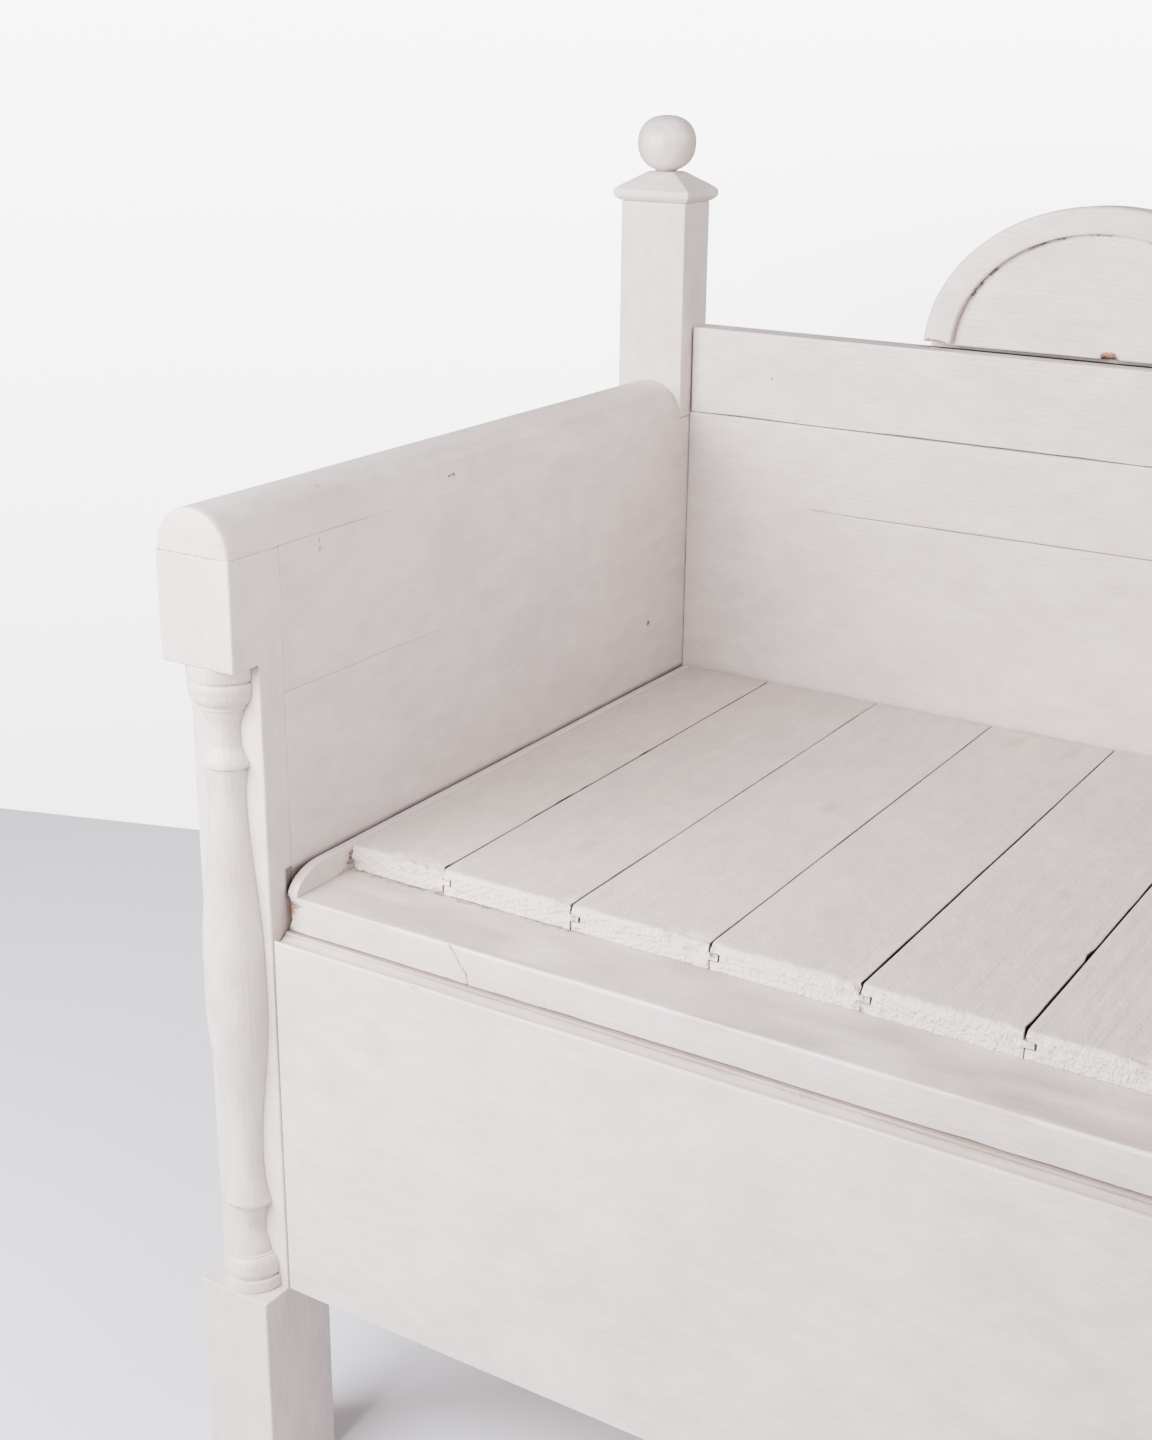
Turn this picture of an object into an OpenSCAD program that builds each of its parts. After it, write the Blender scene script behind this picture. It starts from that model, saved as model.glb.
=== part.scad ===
// Short painted pine settle: a storage bench with a lift-up seat, solid board
// arms, a boarded back with an arched crest and split turned columns in front.
// Millimetres, +Z up, +X along the length, the front faces -Y.
// The origin is on the floor, in the middle of the footprint.

/* [Bench] */
// Clear length between the posts
inner_l = 675; // [640:5:720]
// Depth from the front of the posts to the back of the back posts
depth = 600; // [570:5:660]
// Height of the seat's top face
seat_h = 485; // [465:5:510]
// Top of the leg blocks and bottom edge of the box
box_z = 168; // [145:1:185]

/* [Posts] */
// Width of every post along the bench
post_w = 60; // [56:1:70]
// Depth of the front posts
front_post_d = 69; // [62:1:78]
// Depth of the back posts
back_post_d = 42; // [38:1:50]
// How far the stile is cut back behind the blocks above and below it
recess = 24; // [22:1:26]
// Bottom of the arm block above the seat
block_up = 145; // [130:1:160]
// Top of the back posts above the seat
back_post_up = 392; // [350:1:430]

/* [Arms] */
// Seam between arm boards and arm rail, above the seat
arm_seam_up = 218; // [200:1:235]
// Seam between the two arm boards, above the seat
arm_board_seam_up = 121; // [90:1:150]
// Thickness of the side boards
side_t = 20; // [18:1:24]

/* [Back] */
// Thickness of the crest rail
crest_t = 25; // [23:1:27]
// Top of the crest rail above the seat
crest_up = 292; // [280:1:310]
// Seam below the crest rail, above the seat
crest_seam_up = 222; // [205:1:235]
// Seam between the two back boards, above the seat
back_seam_up = 152; // [120:1:180]
// Thickness of the back boards
back_t = 20; // [18:1:23]

/* [Arch] */
// Half width of the arch
arch_a = 138; // [118:1:160]
// Height of the arch above the crest rail
arch_b = 114; // [95:1:130]
// Thickness of the arch board
arch_t = 22; // [20:1:25]
// How far the arch board's face is set back from the crest rail's face
arch_back = 16; // [14:1:18]
// Width of the rim at its feet
rim_w = 23; // [16:1:30]
// Thickness of the rim
rim_t = 7; // [5:1:10]

/* [Lid] */
// Thickness of the seat boards
plank_t = 18; // [16:1:21]
// Cover width of a full seat board
plank_pitch = 100.4; // [92:0.2:106]
// Width of the open seam between two seat boards
seam = 0.9; // [0.5:0.1:2]
// Gap between the lid and the arm boards
lid_gap = 2.5; // [2:0.5:4]
// Front face of the lid rail, behind the front of the posts
rail_y = 38.5; // [34:0.5:46]
// Front ends of the seat boards, behind the front of the posts
plank_y = 97; // [88:1:104]
// Thickness of the lid's front rail
rail_t = 25; // [20:1:30]
// Thickness of the thin strip along each end of the lid
cleat_t = 7.5; // [6:0.5:12]
// Diameter of the lid's pivot pins
pin_d = 8; // [6:0.5:10]

/* [Hidden] */
$fn = 64;
wood = [0.86, 0.85, 0.83];
bare_pine = [0.72, 0.56, 0.38];
iron = [0.30, 0.29, 0.28];

// running and driven clearances
pin_run = 0.05;
screw_run = 0.1;
slip = 0.5;

// lap of the arch board behind the crest rail
lap_t = arch_back + arch_t - crest_t;
lap_h = 45;
overall_d = depth + lap_t;

half_l = inner_l / 2;
y0 = -overall_d / 2;
back_post_y = y0 + depth - back_post_d;
back_face_y = y0 + depth - crest_t;
side_y = y0 + 47.5;

// front panel and its tenons
panel_t = 25;
panel_y = y0 + recess - 0.5;
panel_gap = 1.2;
panel_top = seat_h - plank_t - rail_t - 0.6;
tenon_t = 12;
tenon_l = 25;
tenon_low = 18;
tenon_in = 6;

// tongues on the ends of the back boards and the crest rail
back_tenon = 12;
back_tenon_in = 4;
crest_shoulder = 5;

// dowels of the ball finials
dowel_d = 12;
dowel_down = 40;
dowel_bore = 30;

// lid: five full boards between the two end boards
full_planks = 5;
rail_d = 90;
plank_back = back_face_y - 3;
plank_len = plank_back - (y0 + plank_y);
lid_half = half_l - lid_gap;
end_plank = (2 * (lid_half - cleat_t) - full_planks * plank_pitch) / 2;
plank_count = full_planks + 2;
tongue_l = 6;
tongue_t = 5;
nose = 6;
back_rail_d = 70;
back_rail_t = 20;
back_rail_y = plank_back - 100;
ledge_w = 18;
ledge_h = 25;
ledge_gap = 6;
pin_clear = 30;
rail_inset = ledge_w + 6;
pin_setback = 18;
pin_y = plank_back - pin_setback;
pin_z = seat_h - plank_t / 2;
pin_depth = 20;
lid_screw_l = 32;
lid_screw_in = 16;

// box floor
batten = 25;
floor_t = 18;
floor_boards = 4;
floor_z = box_z + batten;
floor_y = panel_y + panel_t + 1;
floor_d = back_face_y - floor_y;

// side board and back board seams
arm_seam_z = seat_h + arm_seam_up;
side_seams = [box_z, box_z + 139, seat_h - 40, seat_h + arm_board_seam_up, arm_seam_z];
back_seams = [
    box_z,
    box_z + 149,
    seat_h - 20,
    seat_h + back_seam_up,
    seat_h + crest_seam_up,
    seat_h + crest_up
];

// turned column, from the leg block up: height, radius, and 1 where the
// line to the next point is a smooth sweep
column_h = seat_h + block_up - box_z;
column_scale = column_h / 462;
column_keys = [
    [0, 23.5, 0],
    [9, 23, 0],
    [10, 21.2, 1],
    [17, 22.6, 1],
    [25, 19.5, 0],
    [26, 17.2, 1],
    [47, 12, 1],
    [64, 14.6, 0],
    [67, 18.6, 0],
    [69, 18.6, 1],
    [100, 13.4, 1],
    [236, 23.8, 1],
    [362, 14.7, 1],
    [388, 18.6, 0],
    [391, 19.4, 0],
    [393, 17.6, 1],
    [409, 12.2, 1],
    [433, 18.2, 0],
    [434, 19.6, 0],
    [437, 19.8, 1],
    [450, 23.6, 0],
    [451, 22.8, 0],
    [452, 23.8, 0],
    [462, 23.8, 0]
];
sweep_steps = 8;

// The left half is drawn as it stands and the right half is its mirror image.
module both(side) {
    if (side == "left") children();
    else mirror([1, 0, 0]) children();
}

// A block from its low corner and its size
module block(x, y, z, sx, sy, sz) {
    translate([x, y, z]) cube([sx, sy, sz]);
}

// ---- posts ----

module front_post(side) {
    x = -half_l - post_w;
    color(wood) both(side) difference() {
        block(x, y0, 0, post_w, front_post_d, arm_seam_z);
        block(x - 1, y0 - 1, box_z, post_w + 2, recess + 1, column_h);
        // rebate for the side boards
        block(-half_l - side_t, side_y, box_z, side_t + 1, front_post_d, arm_seam_z);
        // mortise for the front panel's tenon
        block(
            -half_l - tenon_l,
            panel_y + tenon_in,
            box_z + tenon_low,
            tenon_l + 1,
            tenon_t,
            panel_top - box_z - 2 * tenon_low
        );
        for (p = side_nail_places("front")) side_nail(p, screw_run);
    }
}

module back_post(side) {
    color(wood) both(side) difference() {
        block(-half_l - post_w, back_post_y, 0, post_w, back_post_d, seat_h + back_post_up);
        // rebate for the side boards
        block(-half_l - side_t, back_post_y - 1, box_z, side_t + 1, back_face_y - back_post_y + 1,
            arm_seam_z - box_z);
        // groove for the tongues of the back boards and the crest rail
        block(-half_l - back_tenon, back_face_y + back_tenon_in, box_z, back_tenon + 1, tenon_t,
            seat_h + crest_up - box_z - crest_shoulder);
        translate([-half_l - post_w / 2, back_post_y + back_post_d / 2,
            seat_h + back_post_up - dowel_bore])
            cylinder(d = dowel_d, h = dowel_bore + 1);
        for (p = side_nail_places("back")) side_nail(p, screw_run);
    }
}

cap_over = 5;
cap_edge = 10;
cap_rise = 13;
cap_flat = 24;
cap_bevel = 7;
cap_under = 1;

// Low pyramid with a bevel below its edge
module post_cap(side) {
    w = post_w + 2 * cap_over;
    d = back_post_d + 2 * cap_over;
    color(wood) both(side)
        translate([-half_l - post_w / 2, back_post_y + back_post_d / 2, seat_h + back_post_up])
        difference() {
            union() {
                cap_slope(post_w + 2 * cap_under, back_post_d + 2 * cap_under, w, d, cap_bevel);
                translate([0, 0, cap_bevel]) cap_slope(w, d, w, d, cap_edge - cap_bevel);
                translate([0, 0, cap_edge]) cap_slope(w, d, cap_flat, cap_flat * 0.8, cap_rise);
            }
            translate([0, 0, -1]) cylinder(d = dowel_d, h = cap_edge + cap_rise + 2);
        }
}

// Straight-sided solid between two centred rectangles
module cap_slope(w1, d1, w2, d2, h) {
    polyhedron(
        points = [
            [-w1 / 2, -d1 / 2, 0], [w1 / 2, -d1 / 2, 0], [w1 / 2, d1 / 2, 0], [-w1 / 2, d1 / 2, 0],
            [-w2 / 2, -d2 / 2, h], [w2 / 2, -d2 / 2, h], [w2 / 2, d2 / 2, h], [-w2 / 2, d2 / 2, h]
        ],
        faces = [[0, 1, 2, 3], [4, 7, 6, 5], [0, 4, 5, 1], [1, 5, 6, 2], [2, 6, 7, 3], [3, 7, 4, 0]]
    );
}

ball_r = 24;
ball_foot_r = 12;

// Turned ball with a flat foot and a dowel
module ball_finial(side) {
    drop = sqrt(ball_r * ball_r - ball_foot_r * ball_foot_r);
    base = seat_h + back_post_up + cap_edge + cap_rise;
    color(wood) both(side)
        translate([-half_l - post_w / 2, back_post_y + back_post_d / 2, base]) {
            difference() {
                translate([0, 0, drop]) sphere(r = ball_r);
                translate([-ball_r, -ball_r, -ball_r]) cube([2 * ball_r, 2 * ball_r, ball_r]);
            }
            translate([0, 0, -dowel_down]) cylinder(d = dowel_d - 2 * screw_run, h = dowel_down + drop);
        }
}

// ---- turned half column ----

function sweep(a, b, t) = a[1] + (b[1] - a[1]) * (1 - cos(180 * t)) / 2;
function stretch(i) =
    let (a = column_keys[i], b = column_keys[i + 1], n = a[2] == 1 ? sweep_steps : 1)
    [for (k = [0:n - 1]) [
        n == 1 ? a[1] : sweep(a, b, k / n),
        (a[0] + (b[0] - a[0]) * k / n) * column_scale
    ]];
function column_outline() = concat(
    [[0, 0]],
    [for (i = [0:len(column_keys) - 2]) each stretch(i)],
    [[column_keys[len(column_keys) - 1][1], column_h], [0, column_h]]
);

module half_column(side) {
    color(wood) both(side)
        translate([-half_l - post_w / 2, y0 + recess, box_z])
        difference() {
            rotate_extrude() polygon(column_outline());
            block(-post_w, 0, -1, 2 * post_w, post_w, column_h + 2);
        }
}

// ---- arms and sides ----

module arm_rail(side) {
    r = post_w / 2;
    color(wood) both(side)
        translate([-half_l - r, y0, arm_seam_z]) difference() {
            rotate([-90, 0, 0]) cylinder(r = r, h = back_post_y - y0, $fn = 96);
            block(-r - 1, -1, -r - 1, post_w + 2, depth, r + 1);
        }
}

module side_board(side, b) {
    low = side_seams[b - 1];
    h = side_seams[b] - low;
    color(wood) both(side) difference() {
        block(-half_l - side_t, side_y, low, side_t, back_face_y - side_y, h);
        for (p = side_nail_places("front")) side_nail(p, screw_run);
        for (p = side_nail_places("back")) side_nail(p, screw_run);
        if (b == 3) translate([-half_l - side_t - 1, pin_y, pin_z])
            rotate([0, 90, 0]) cylinder(d = pin_d, h = side_t + 2);
    }
}

// Nails through the ends of the side boards into the posts, two in each end
nail_d = 3;
nail_l = 38;
nail_in_front = 10.5;
nail_in_back = 7;
function side_nail_places(end) = [
    for (b = [0:3], t = [0.3, 0.7]) [
        -half_l,
        end == "front" ? side_y + nail_in_front : back_post_y + nail_in_back,
        side_seams[b] + (side_seams[b + 1] - side_seams[b]) * t
    ]
];

module side_nail(p, extra) {
    translate(p) rotate([0, -90, 0]) cylinder(d = nail_d + 2 * extra, h = nail_l + extra);
}

module side_board_nails() {
    color(iron) for (side = ["left", "right"]) both(side)
        for (end = ["front", "back"], p = side_nail_places(end)) side_nail(p, 0);
}

// ---- back ----

// Board with a tongue on each end. The crest rail has no gap above it, and a
// shoulder over its tongues.
module back_plank(low, high, t, gap) {
    color(wood) difference() {
        union() {
            block(-half_l, back_face_y, low, inner_l, t, high - low - gap);
            block(-half_l - back_tenon + slip, back_face_y + back_tenon_in + slip / 4, low,
                inner_l + 2 * back_tenon - 2 * slip, tenon_t - slip / 2,
                high - low - (gap > 0 ? gap : crest_shoulder));
        }
        if (gap == 0) for (p = arch_screw_places()) arch_screw(p, screw_run);
    }
}

module back_board(b) back_plank(back_seams[b - 1], back_seams[b], back_t, 0.3);
module crest_rail() back_plank(back_seams[4], back_seams[5], crest_t, 0);

function ellipse(a, b, steps) = [for (i = [0:steps]) [a * cos(180 * i / steps), b * sin(180 * i / steps)]];
arch_steps = 60;
rim_foot = 5;
board_in = 1;
board_low = 1.5;

// Arch board, rebated over the back of the crest rail
module arch_board() {
    z = seat_h + crest_up;
    y = back_face_y + arch_back;
    a = arch_a - board_in;
    color(wood) difference() {
        union() {
            translate([0, y + arch_t, z + board_low]) rotate([90, 0, 0])
                linear_extrude(arch_t) polygon(ellipse(a, arch_b - board_low - board_in, arch_steps));
            block(-a, y0 + depth, z - lap_h, 2 * a, lap_t, lap_h + 3);
        }
        for (p = arch_screw_places()) arch_screw(p, screw_run);
    }
}

// Half-ring rim applied to the face of the arch board
module arch_rim() {
    z = seat_h + crest_up;
    y = back_face_y + arch_back;
    color(wood) intersection() {
        translate([0, y, z]) rotate([90, 0, 0]) linear_extrude(rim_t) difference() {
            polygon(ellipse(arch_a, arch_b, arch_steps));
            translate([0, -0.01]) polygon(ellipse(arch_a - rim_w, arch_b - rim_w * 0.88, arch_steps));
        }
        block(-arch_a - 1, y - rim_t - 1, z + rim_foot, 2 * arch_a + 2, rim_t + 2, arch_b);
    }
}

screw_d = 4;
head_d = 8;
head_h = 3;
arch_screw_l = 28;

// Countersunk screw along +Z with its head at the start
module screw(length, extra) {
    cylinder(d1 = head_d + 2 * extra, d2 = screw_d + 2 * extra, h = head_h);
    cylinder(d = screw_d + 2 * extra, h = length + extra);
}

function arch_screw_places() = [
    for (x = [-1, -0.35, 0.35, 1]) [x * (arch_a - 20), y0 + depth + lap_t, seat_h + crest_up - lap_h / 2]
];

module arch_screw(p, extra) {
    translate(p) rotate([90, 0, 0]) screw(arch_screw_l, extra);
}

module arch_screws() {
    color(iron) for (p = arch_screw_places()) arch_screw(p, 0);
}

// ---- box ----

// Front panel: one wide board, its top edge worked with a fillet and a cove
cove_y = 7.2;
cove_r = 5;
cove_deep = 2.6;
fillet_y = 13;
fillet_down = 1.8;

module front_panel() {
    h = panel_top - box_z;
    corner = 5;
    edge = h - fillet_down;
    color(wood) union() {
        intersection() {
            translate([-half_l + panel_gap, panel_y, box_z]) rotate([90, 0, 90])
                linear_extrude(inner_l - 2 * panel_gap) polygon(concat(
                    [[0, 0], [panel_t, 0], [panel_t, h], [fillet_y, h], [fillet_y, edge]],
                    [for (i = [0:8]) let (a = 180 * i / 8) [
                        cove_y + cove_r * cos(a),
                        edge - cove_deep * sin(a)
                    ]],
                    [[1.4, edge + 0.2], [0.4, edge - 0.4], [0, edge - 1.4]]
                ));
            union() {
                block(-half_l + panel_gap, panel_y - 1, box_z + corner, inner_l - 2 * panel_gap,
                    panel_t + 2, h);
                block(-half_l + panel_gap + corner, panel_y - 1, box_z,
                    inner_l - 2 * panel_gap - 2 * corner, panel_t + 2, h);
                for (m = [-1, 1])
                    translate([m * (half_l - panel_gap - corner), panel_y - 1, box_z + corner])
                        rotate([-90, 0, 0]) cylinder(r = corner, h = panel_t + 2);
            }
        }
        block(
            -half_l - tenon_l + slip,
            panel_y + tenon_in + slip / 4,
            box_z + tenon_low + slip,
            inner_l + 2 * tenon_l - 2 * slip,
            tenon_t - slip / 2,
            panel_top - box_z - 2 * tenon_low - 2 * slip
        );
    }
}

module floor_board(b) {
    w = floor_d / floor_boards;
    color(bare_pine)
        block(-half_l + slip, floor_y + w * (b - 1), floor_z, inner_l - 2 * slip, w - seam, floor_t);
}

module floor_batten(side) {
    color(bare_pine) both(side) block(-half_l, floor_y, box_z, batten, floor_d, batten);
}

// Ledge that carries the end of the lid
module lid_ledge(side) {
    y = y0 + rail_y + rail_d + ledge_gap;
    color(wood) both(side)
        block(-half_l, y, seat_h - plank_t - slip - ledge_h, ledge_w,
            pin_y - pin_clear - y, ledge_h);
}

// ---- lid ----

// Left edge of seat board b, counted from the left
function plank_x(b) =
    -lid_half + cleat_t + (b == 1 ? 0 : end_plank + (b - 2) * plank_pitch);
function plank_w(b) = b == 1 || b == plank_count ? end_plank : plank_pitch;

// Seat board with a rounded front arris, a tongue on its right edge and a
// groove in its left edge
module seat_board(b) {
    x = plank_x(b);
    w = plank_w(b) - (b == plank_count ? 0 : seam);
    color(wood) difference() {
        union() {
            translate([x, y0 + plank_y, seat_h]) rotate([90, 0, 90]) linear_extrude(w)
                polygon(concat(
                    [[0, -plank_t], [plank_len, -plank_t], [plank_len, 0], [nose, 0]],
                    [for (i = [1:8]) [nose - nose * sin(90 * i / 8), -nose + nose * cos(90 * i / 8)]]
                ));
            if (b < plank_count)
                block(x + w - 1, y0 + plank_y + 0.5, pin_z - tongue_t / 2, tongue_l + 1,
                    plank_len - 1, tongue_t);
        }
        if (b > 1)
            block(x - 1, y0 + plank_y - 1, pin_z - tongue_t / 2 - 0.3, tongue_l + 1.8,
                plank_len + 2, tongue_t + 0.6);
        if (b == 1 || b == plank_count) pivot_bores();
        for (p = lid_screw_places()) lid_screw(p, screw_run);
    }
}

// Running bores for both pivot pins
module pivot_bores() {
    for (side = ["left", "right"]) both(side)
        translate([-lid_half - 1, pin_y, pin_z]) rotate([0, 90, 0])
            cylinder(d = pin_d + 2 * pin_run, h = cleat_t + pin_depth + 2);
}

module lid_front_rail() {
    top = 2;
    z = seat_h - plank_t;
    color(wood) difference() {
        translate([-lid_half, y0 + rail_y, z]) rotate([90, 0, 90]) linear_extrude(2 * lid_half)
            polygon(concat(
                [[1, -rail_t], [rail_d, -rail_t], [rail_d, 0], [top, 0]],
                [for (i = [1:6]) [top - top * sin(90 * i / 6), -top + top * cos(90 * i / 6)]],
                [[0, -rail_t + 1]]
            ));
        for (p = lid_screw_places()) lid_screw(p, screw_run);
    }
}

module lid_back_rail() {
    color(wood) difference() {
        block(-half_l + rail_inset, back_rail_y, seat_h - plank_t - back_rail_t,
            inner_l - 2 * rail_inset, back_rail_d, back_rail_t);
        for (p = lid_screw_places()) lid_screw(p, screw_run);
    }
}

// Thin strip that closes each end of the lid, swept down to the rail in front
module lid_end_strip(side) {
    strip_l = plank_back - (y0 + rail_y);
    run = 24;
    tip = 0.5;
    color(wood) both(side) difference() {
        translate([-lid_half, y0 + rail_y, seat_h]) rotate([90, 0, 90]) linear_extrude(cleat_t)
            polygon(concat(
                [[tip, -plank_t], [strip_l, -plank_t], [strip_l, 0], [run, 0]],
                [for (i = [1:12]) [
                    run - (run - tip) * sin(90 * i / 12),
                    -plank_t + plank_t * cos(90 * i / 12)
                ]]
            ));
        pivot_bores();
    }
}

module pivot_pin(side) {
    color(iron) both(side)
        translate([-half_l - side_t, pin_y, pin_z]) rotate([0, 90, 0])
            cylinder(d = pin_d, h = side_t + lid_gap + cleat_t + pin_depth);
}

function lid_screw_places() = [
    for (b = [1:plank_count], t = [0.25, 0.75], end = [0, 1]) [
        plank_x(b) + plank_w(b) * t,
        end == 0 ? y0 + plank_y + lid_screw_in : back_rail_y + back_rail_d / 2,
        seat_h - plank_t - (end == 0 ? rail_t : back_rail_t)
    ]
];

module lid_screw(p, extra) {
    translate(p) screw(lid_screw_l, extra);
}

module lid_screws() {
    color(iron) for (p = lid_screw_places()) lid_screw(p, 0);
}

// ---- parts on show ----

for (s = ["left", "right"]) {
    front_post(s);
    back_post(s);
    post_cap(s);
    ball_finial(s);
    half_column(s);
    arm_rail(s);
    floor_batten(s);
    lid_ledge(s);
    lid_end_strip(s);
    pivot_pin(s);
    for (b = [1:4]) side_board(s, b);
}
for (b = [1:4]) back_board(b);
for (b = [1:4]) floor_board(b);
for (b = [1:7]) seat_board(b);
crest_rail();
arch_board();
arch_rim();
front_panel();
lid_front_rail();
lid_back_rail();
lid_screws();
arch_screws();
side_board_nails();
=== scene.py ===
# Looks for the painted pine settle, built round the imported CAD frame.
# The scene is in metres: +X along the bench, -Y is the front, +Z up. Shapes are worked out in mm.
import math

import bmesh
import bpy
import numpy as np
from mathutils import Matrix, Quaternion, Vector


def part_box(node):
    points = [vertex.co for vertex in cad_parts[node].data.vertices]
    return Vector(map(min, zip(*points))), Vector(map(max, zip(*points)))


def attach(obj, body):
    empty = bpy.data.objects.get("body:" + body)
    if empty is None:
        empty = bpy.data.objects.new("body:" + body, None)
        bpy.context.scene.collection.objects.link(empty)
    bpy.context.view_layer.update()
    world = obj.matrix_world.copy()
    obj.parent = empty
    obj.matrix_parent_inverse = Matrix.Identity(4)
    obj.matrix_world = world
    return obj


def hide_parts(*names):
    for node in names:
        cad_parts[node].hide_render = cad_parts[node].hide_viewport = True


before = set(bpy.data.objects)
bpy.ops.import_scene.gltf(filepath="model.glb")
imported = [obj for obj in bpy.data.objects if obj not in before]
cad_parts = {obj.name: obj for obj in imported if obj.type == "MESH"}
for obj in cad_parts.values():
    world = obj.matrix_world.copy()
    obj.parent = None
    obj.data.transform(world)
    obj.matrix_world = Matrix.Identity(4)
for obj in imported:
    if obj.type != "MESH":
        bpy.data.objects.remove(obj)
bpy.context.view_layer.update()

MM = 0.001
SIDES = {"left": 1.0, "right": -1.0}


# ---------------------------------------------------------------- noise ----

def hashed(i, j, k, seed):
    """A steady random number from 0 to 1 for each lattice point."""
    n = i * 374761393 + j * 668265263 + k * 2147483647 + seed * 1274126177
    n = n & 0xFFFFFFFF
    n = ((n ^ (n >> 13)) * 1103515245 + 12345) & 0xFFFFFFFF
    n = ((n ^ (n >> 15)) * 2246822519) & 0xFFFFFFFF
    n = n ^ (n >> 13)
    return (n & 0xFFFFFF) / float(0xFFFFFF)


def soft(points, scale, seed=0):
    """Smooth noise from -1 to 1 at points in mm; scale is the bump size in mm, one number or three."""
    p = np.asarray(points, float) / np.asarray(scale, float) + 1000.0 + seed * 17.31
    cell = np.floor(p).astype(np.int64)
    t = p - cell
    t = t * t * (3 - 2 * t)
    total = np.zeros(len(p))
    for corner in np.ndindex(2, 2, 2):
        share = np.prod(np.where(corner, t, 1 - t), axis=1)
        total += share * hashed(*(cell + corner).T, seed)
    return total * 2 - 1


def smooth_step(x):
    x = np.clip(x, 0, 1)
    return x * x * (3 - 2 * x)


def near(points, centre, size):
    """1 round the centre falling to 0 at the ellipsoid of half axes size, all in mm."""
    d = (points - np.asarray(centre, float)) / np.asarray(size, float)
    return smooth_step(1.8 * (1 - np.sqrt((d * d).sum(1))))


# ------------------------------------------------------------ materials ----

class Graph:
    """The nodes of one material or world. A value is a number, a colour or another node's output."""

    def __init__(self, owner):
        owner.use_nodes = True
        self.tree = owner.node_tree
        self.shader = self.tree.nodes.get("Principled BSDF")

    def put(self, value, socket):
        if isinstance(value, bpy.types.NodeSocket):
            self.tree.links.new(value, socket)
        else:
            socket.default_value = value

    def node(self, kind, sockets=None, **settings):
        """A new node's outputs."""
        made = self.tree.nodes.new("ShaderNode" + kind)
        for key, value in settings.items():
            setattr(made, key, value)
        for key, value in (sockets or {}).items():
            self.put(value, made.inputs[key])
        return made.outputs

    def maths(self, operation, a, b, clamp=False):
        return self.node("Math", {0: a, 1: b}, operation=operation, use_clamp=clamp)[0]

    def add(self, total, *more):
        for value in more:
            total = self.maths("ADD", total, value)
        return total

    def times(self, total, *more):
        for value in more:
            total = self.maths("MULTIPLY", total, value)
        return total

    def ramp(self, source, low, high, to_low=0.0, to_high=1.0):
        limits = {"Value": source, "From Min": low, "From Max": high, "To Min": to_low, "To Max": to_high}
        return self.node("MapRange", limits, clamp=True)["Result"]

    def mix(self, share, a, b):
        made = self.tree.nodes.new("ShaderNodeMix")
        made.data_type = "RGBA"
        for name, kind, value in (("Factor", "VALUE", share), ("A", "RGBA", a), ("B", "RGBA", b)):
            self.put(value, next(s for s in made.inputs if s.name == name and s.type == kind))
        return next(s for s in made.outputs if s.type == "RGBA")

    def tint(self, tone, *layers):
        """Lays colours over a tone. A layer is a source, the two values that it is ramped between, the most
        that the layer covers, and its colour."""
        for source, low, high, most, colour in layers:
            tone = self.mix(self.ramp(source, low, high, 0.0, most), tone, colour)
        return tone

    def mark(self, name):
        return self.node("Attribute", attribute_name=name)["Fac"]

    def grain(self, along):
        """Object coordinates in mm with the grain along X, shifted by the piece's own number."""
        place = self.node("SeparateXYZ", {0: self.node("TexCoord")["Object"]})
        order = sorted(range(3), key=lambda k: k != "xyz".index(along))
        moved = [self.times(place[k], 1000.0) for k in order]
        moved[0] = self.add(moved[0], self.times(self.mark("piece_no"), 731.0))
        return self.node("CombineXYZ", dict(enumerate(moved)))[0]

    def stretched(self, coords, scale):
        return self.node("VectorMath", {0: coords, 1: scale}, operation="MULTIPLY")[0]

    def noise(self, coords, scale, detail, rough=0.6):
        """Noise from 0 to 1; scale is how many bumps it has in a millimetre along each axis."""
        sockets = {"Vector": self.stretched(coords, scale), "Scale": 1.0, "Detail": detail, "Roughness": rough}
        return self.node("TexNoise", sockets, noise_dimensions="3D")["Fac"]

    def rings(self, coords, scale, profile, distortion, detail_scale=1.0):
        """Growth rings round the grain."""
        sockets = {"Vector": self.stretched(coords, scale), "Scale": 1.0, "Distortion": distortion,
                   "Detail": 2.0, "Detail Scale": detail_scale}
        return self.node("TexWave", sockets, wave_type="RINGS", rings_direction="X", wave_profile=profile)["Fac"]

    def surface(self, tone, gloss, height, strength, distance):
        """Joins colour, roughness and relief to the shader."""
        bump = self.node("Bump", {"Height": height, "Strength": strength, "Distance": distance})[0]
        for name, source in (("Base Color", tone), ("Roughness", gloss), ("Normal", bump)):
            self.put(source, self.shader.inputs[name])


def srgb(r, g, b):
    def one(c):
        c = c / 255.0
        return c / 12.92 if c <= 0.04045 else ((c + 0.055) / 1.055) ** 2.4
    return (one(r), one(g), one(b), 1.0)


def material(name, finish, *values):
    made = bpy.data.materials.new(name)
    finish(Graph(made), *values)
    return made


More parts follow.
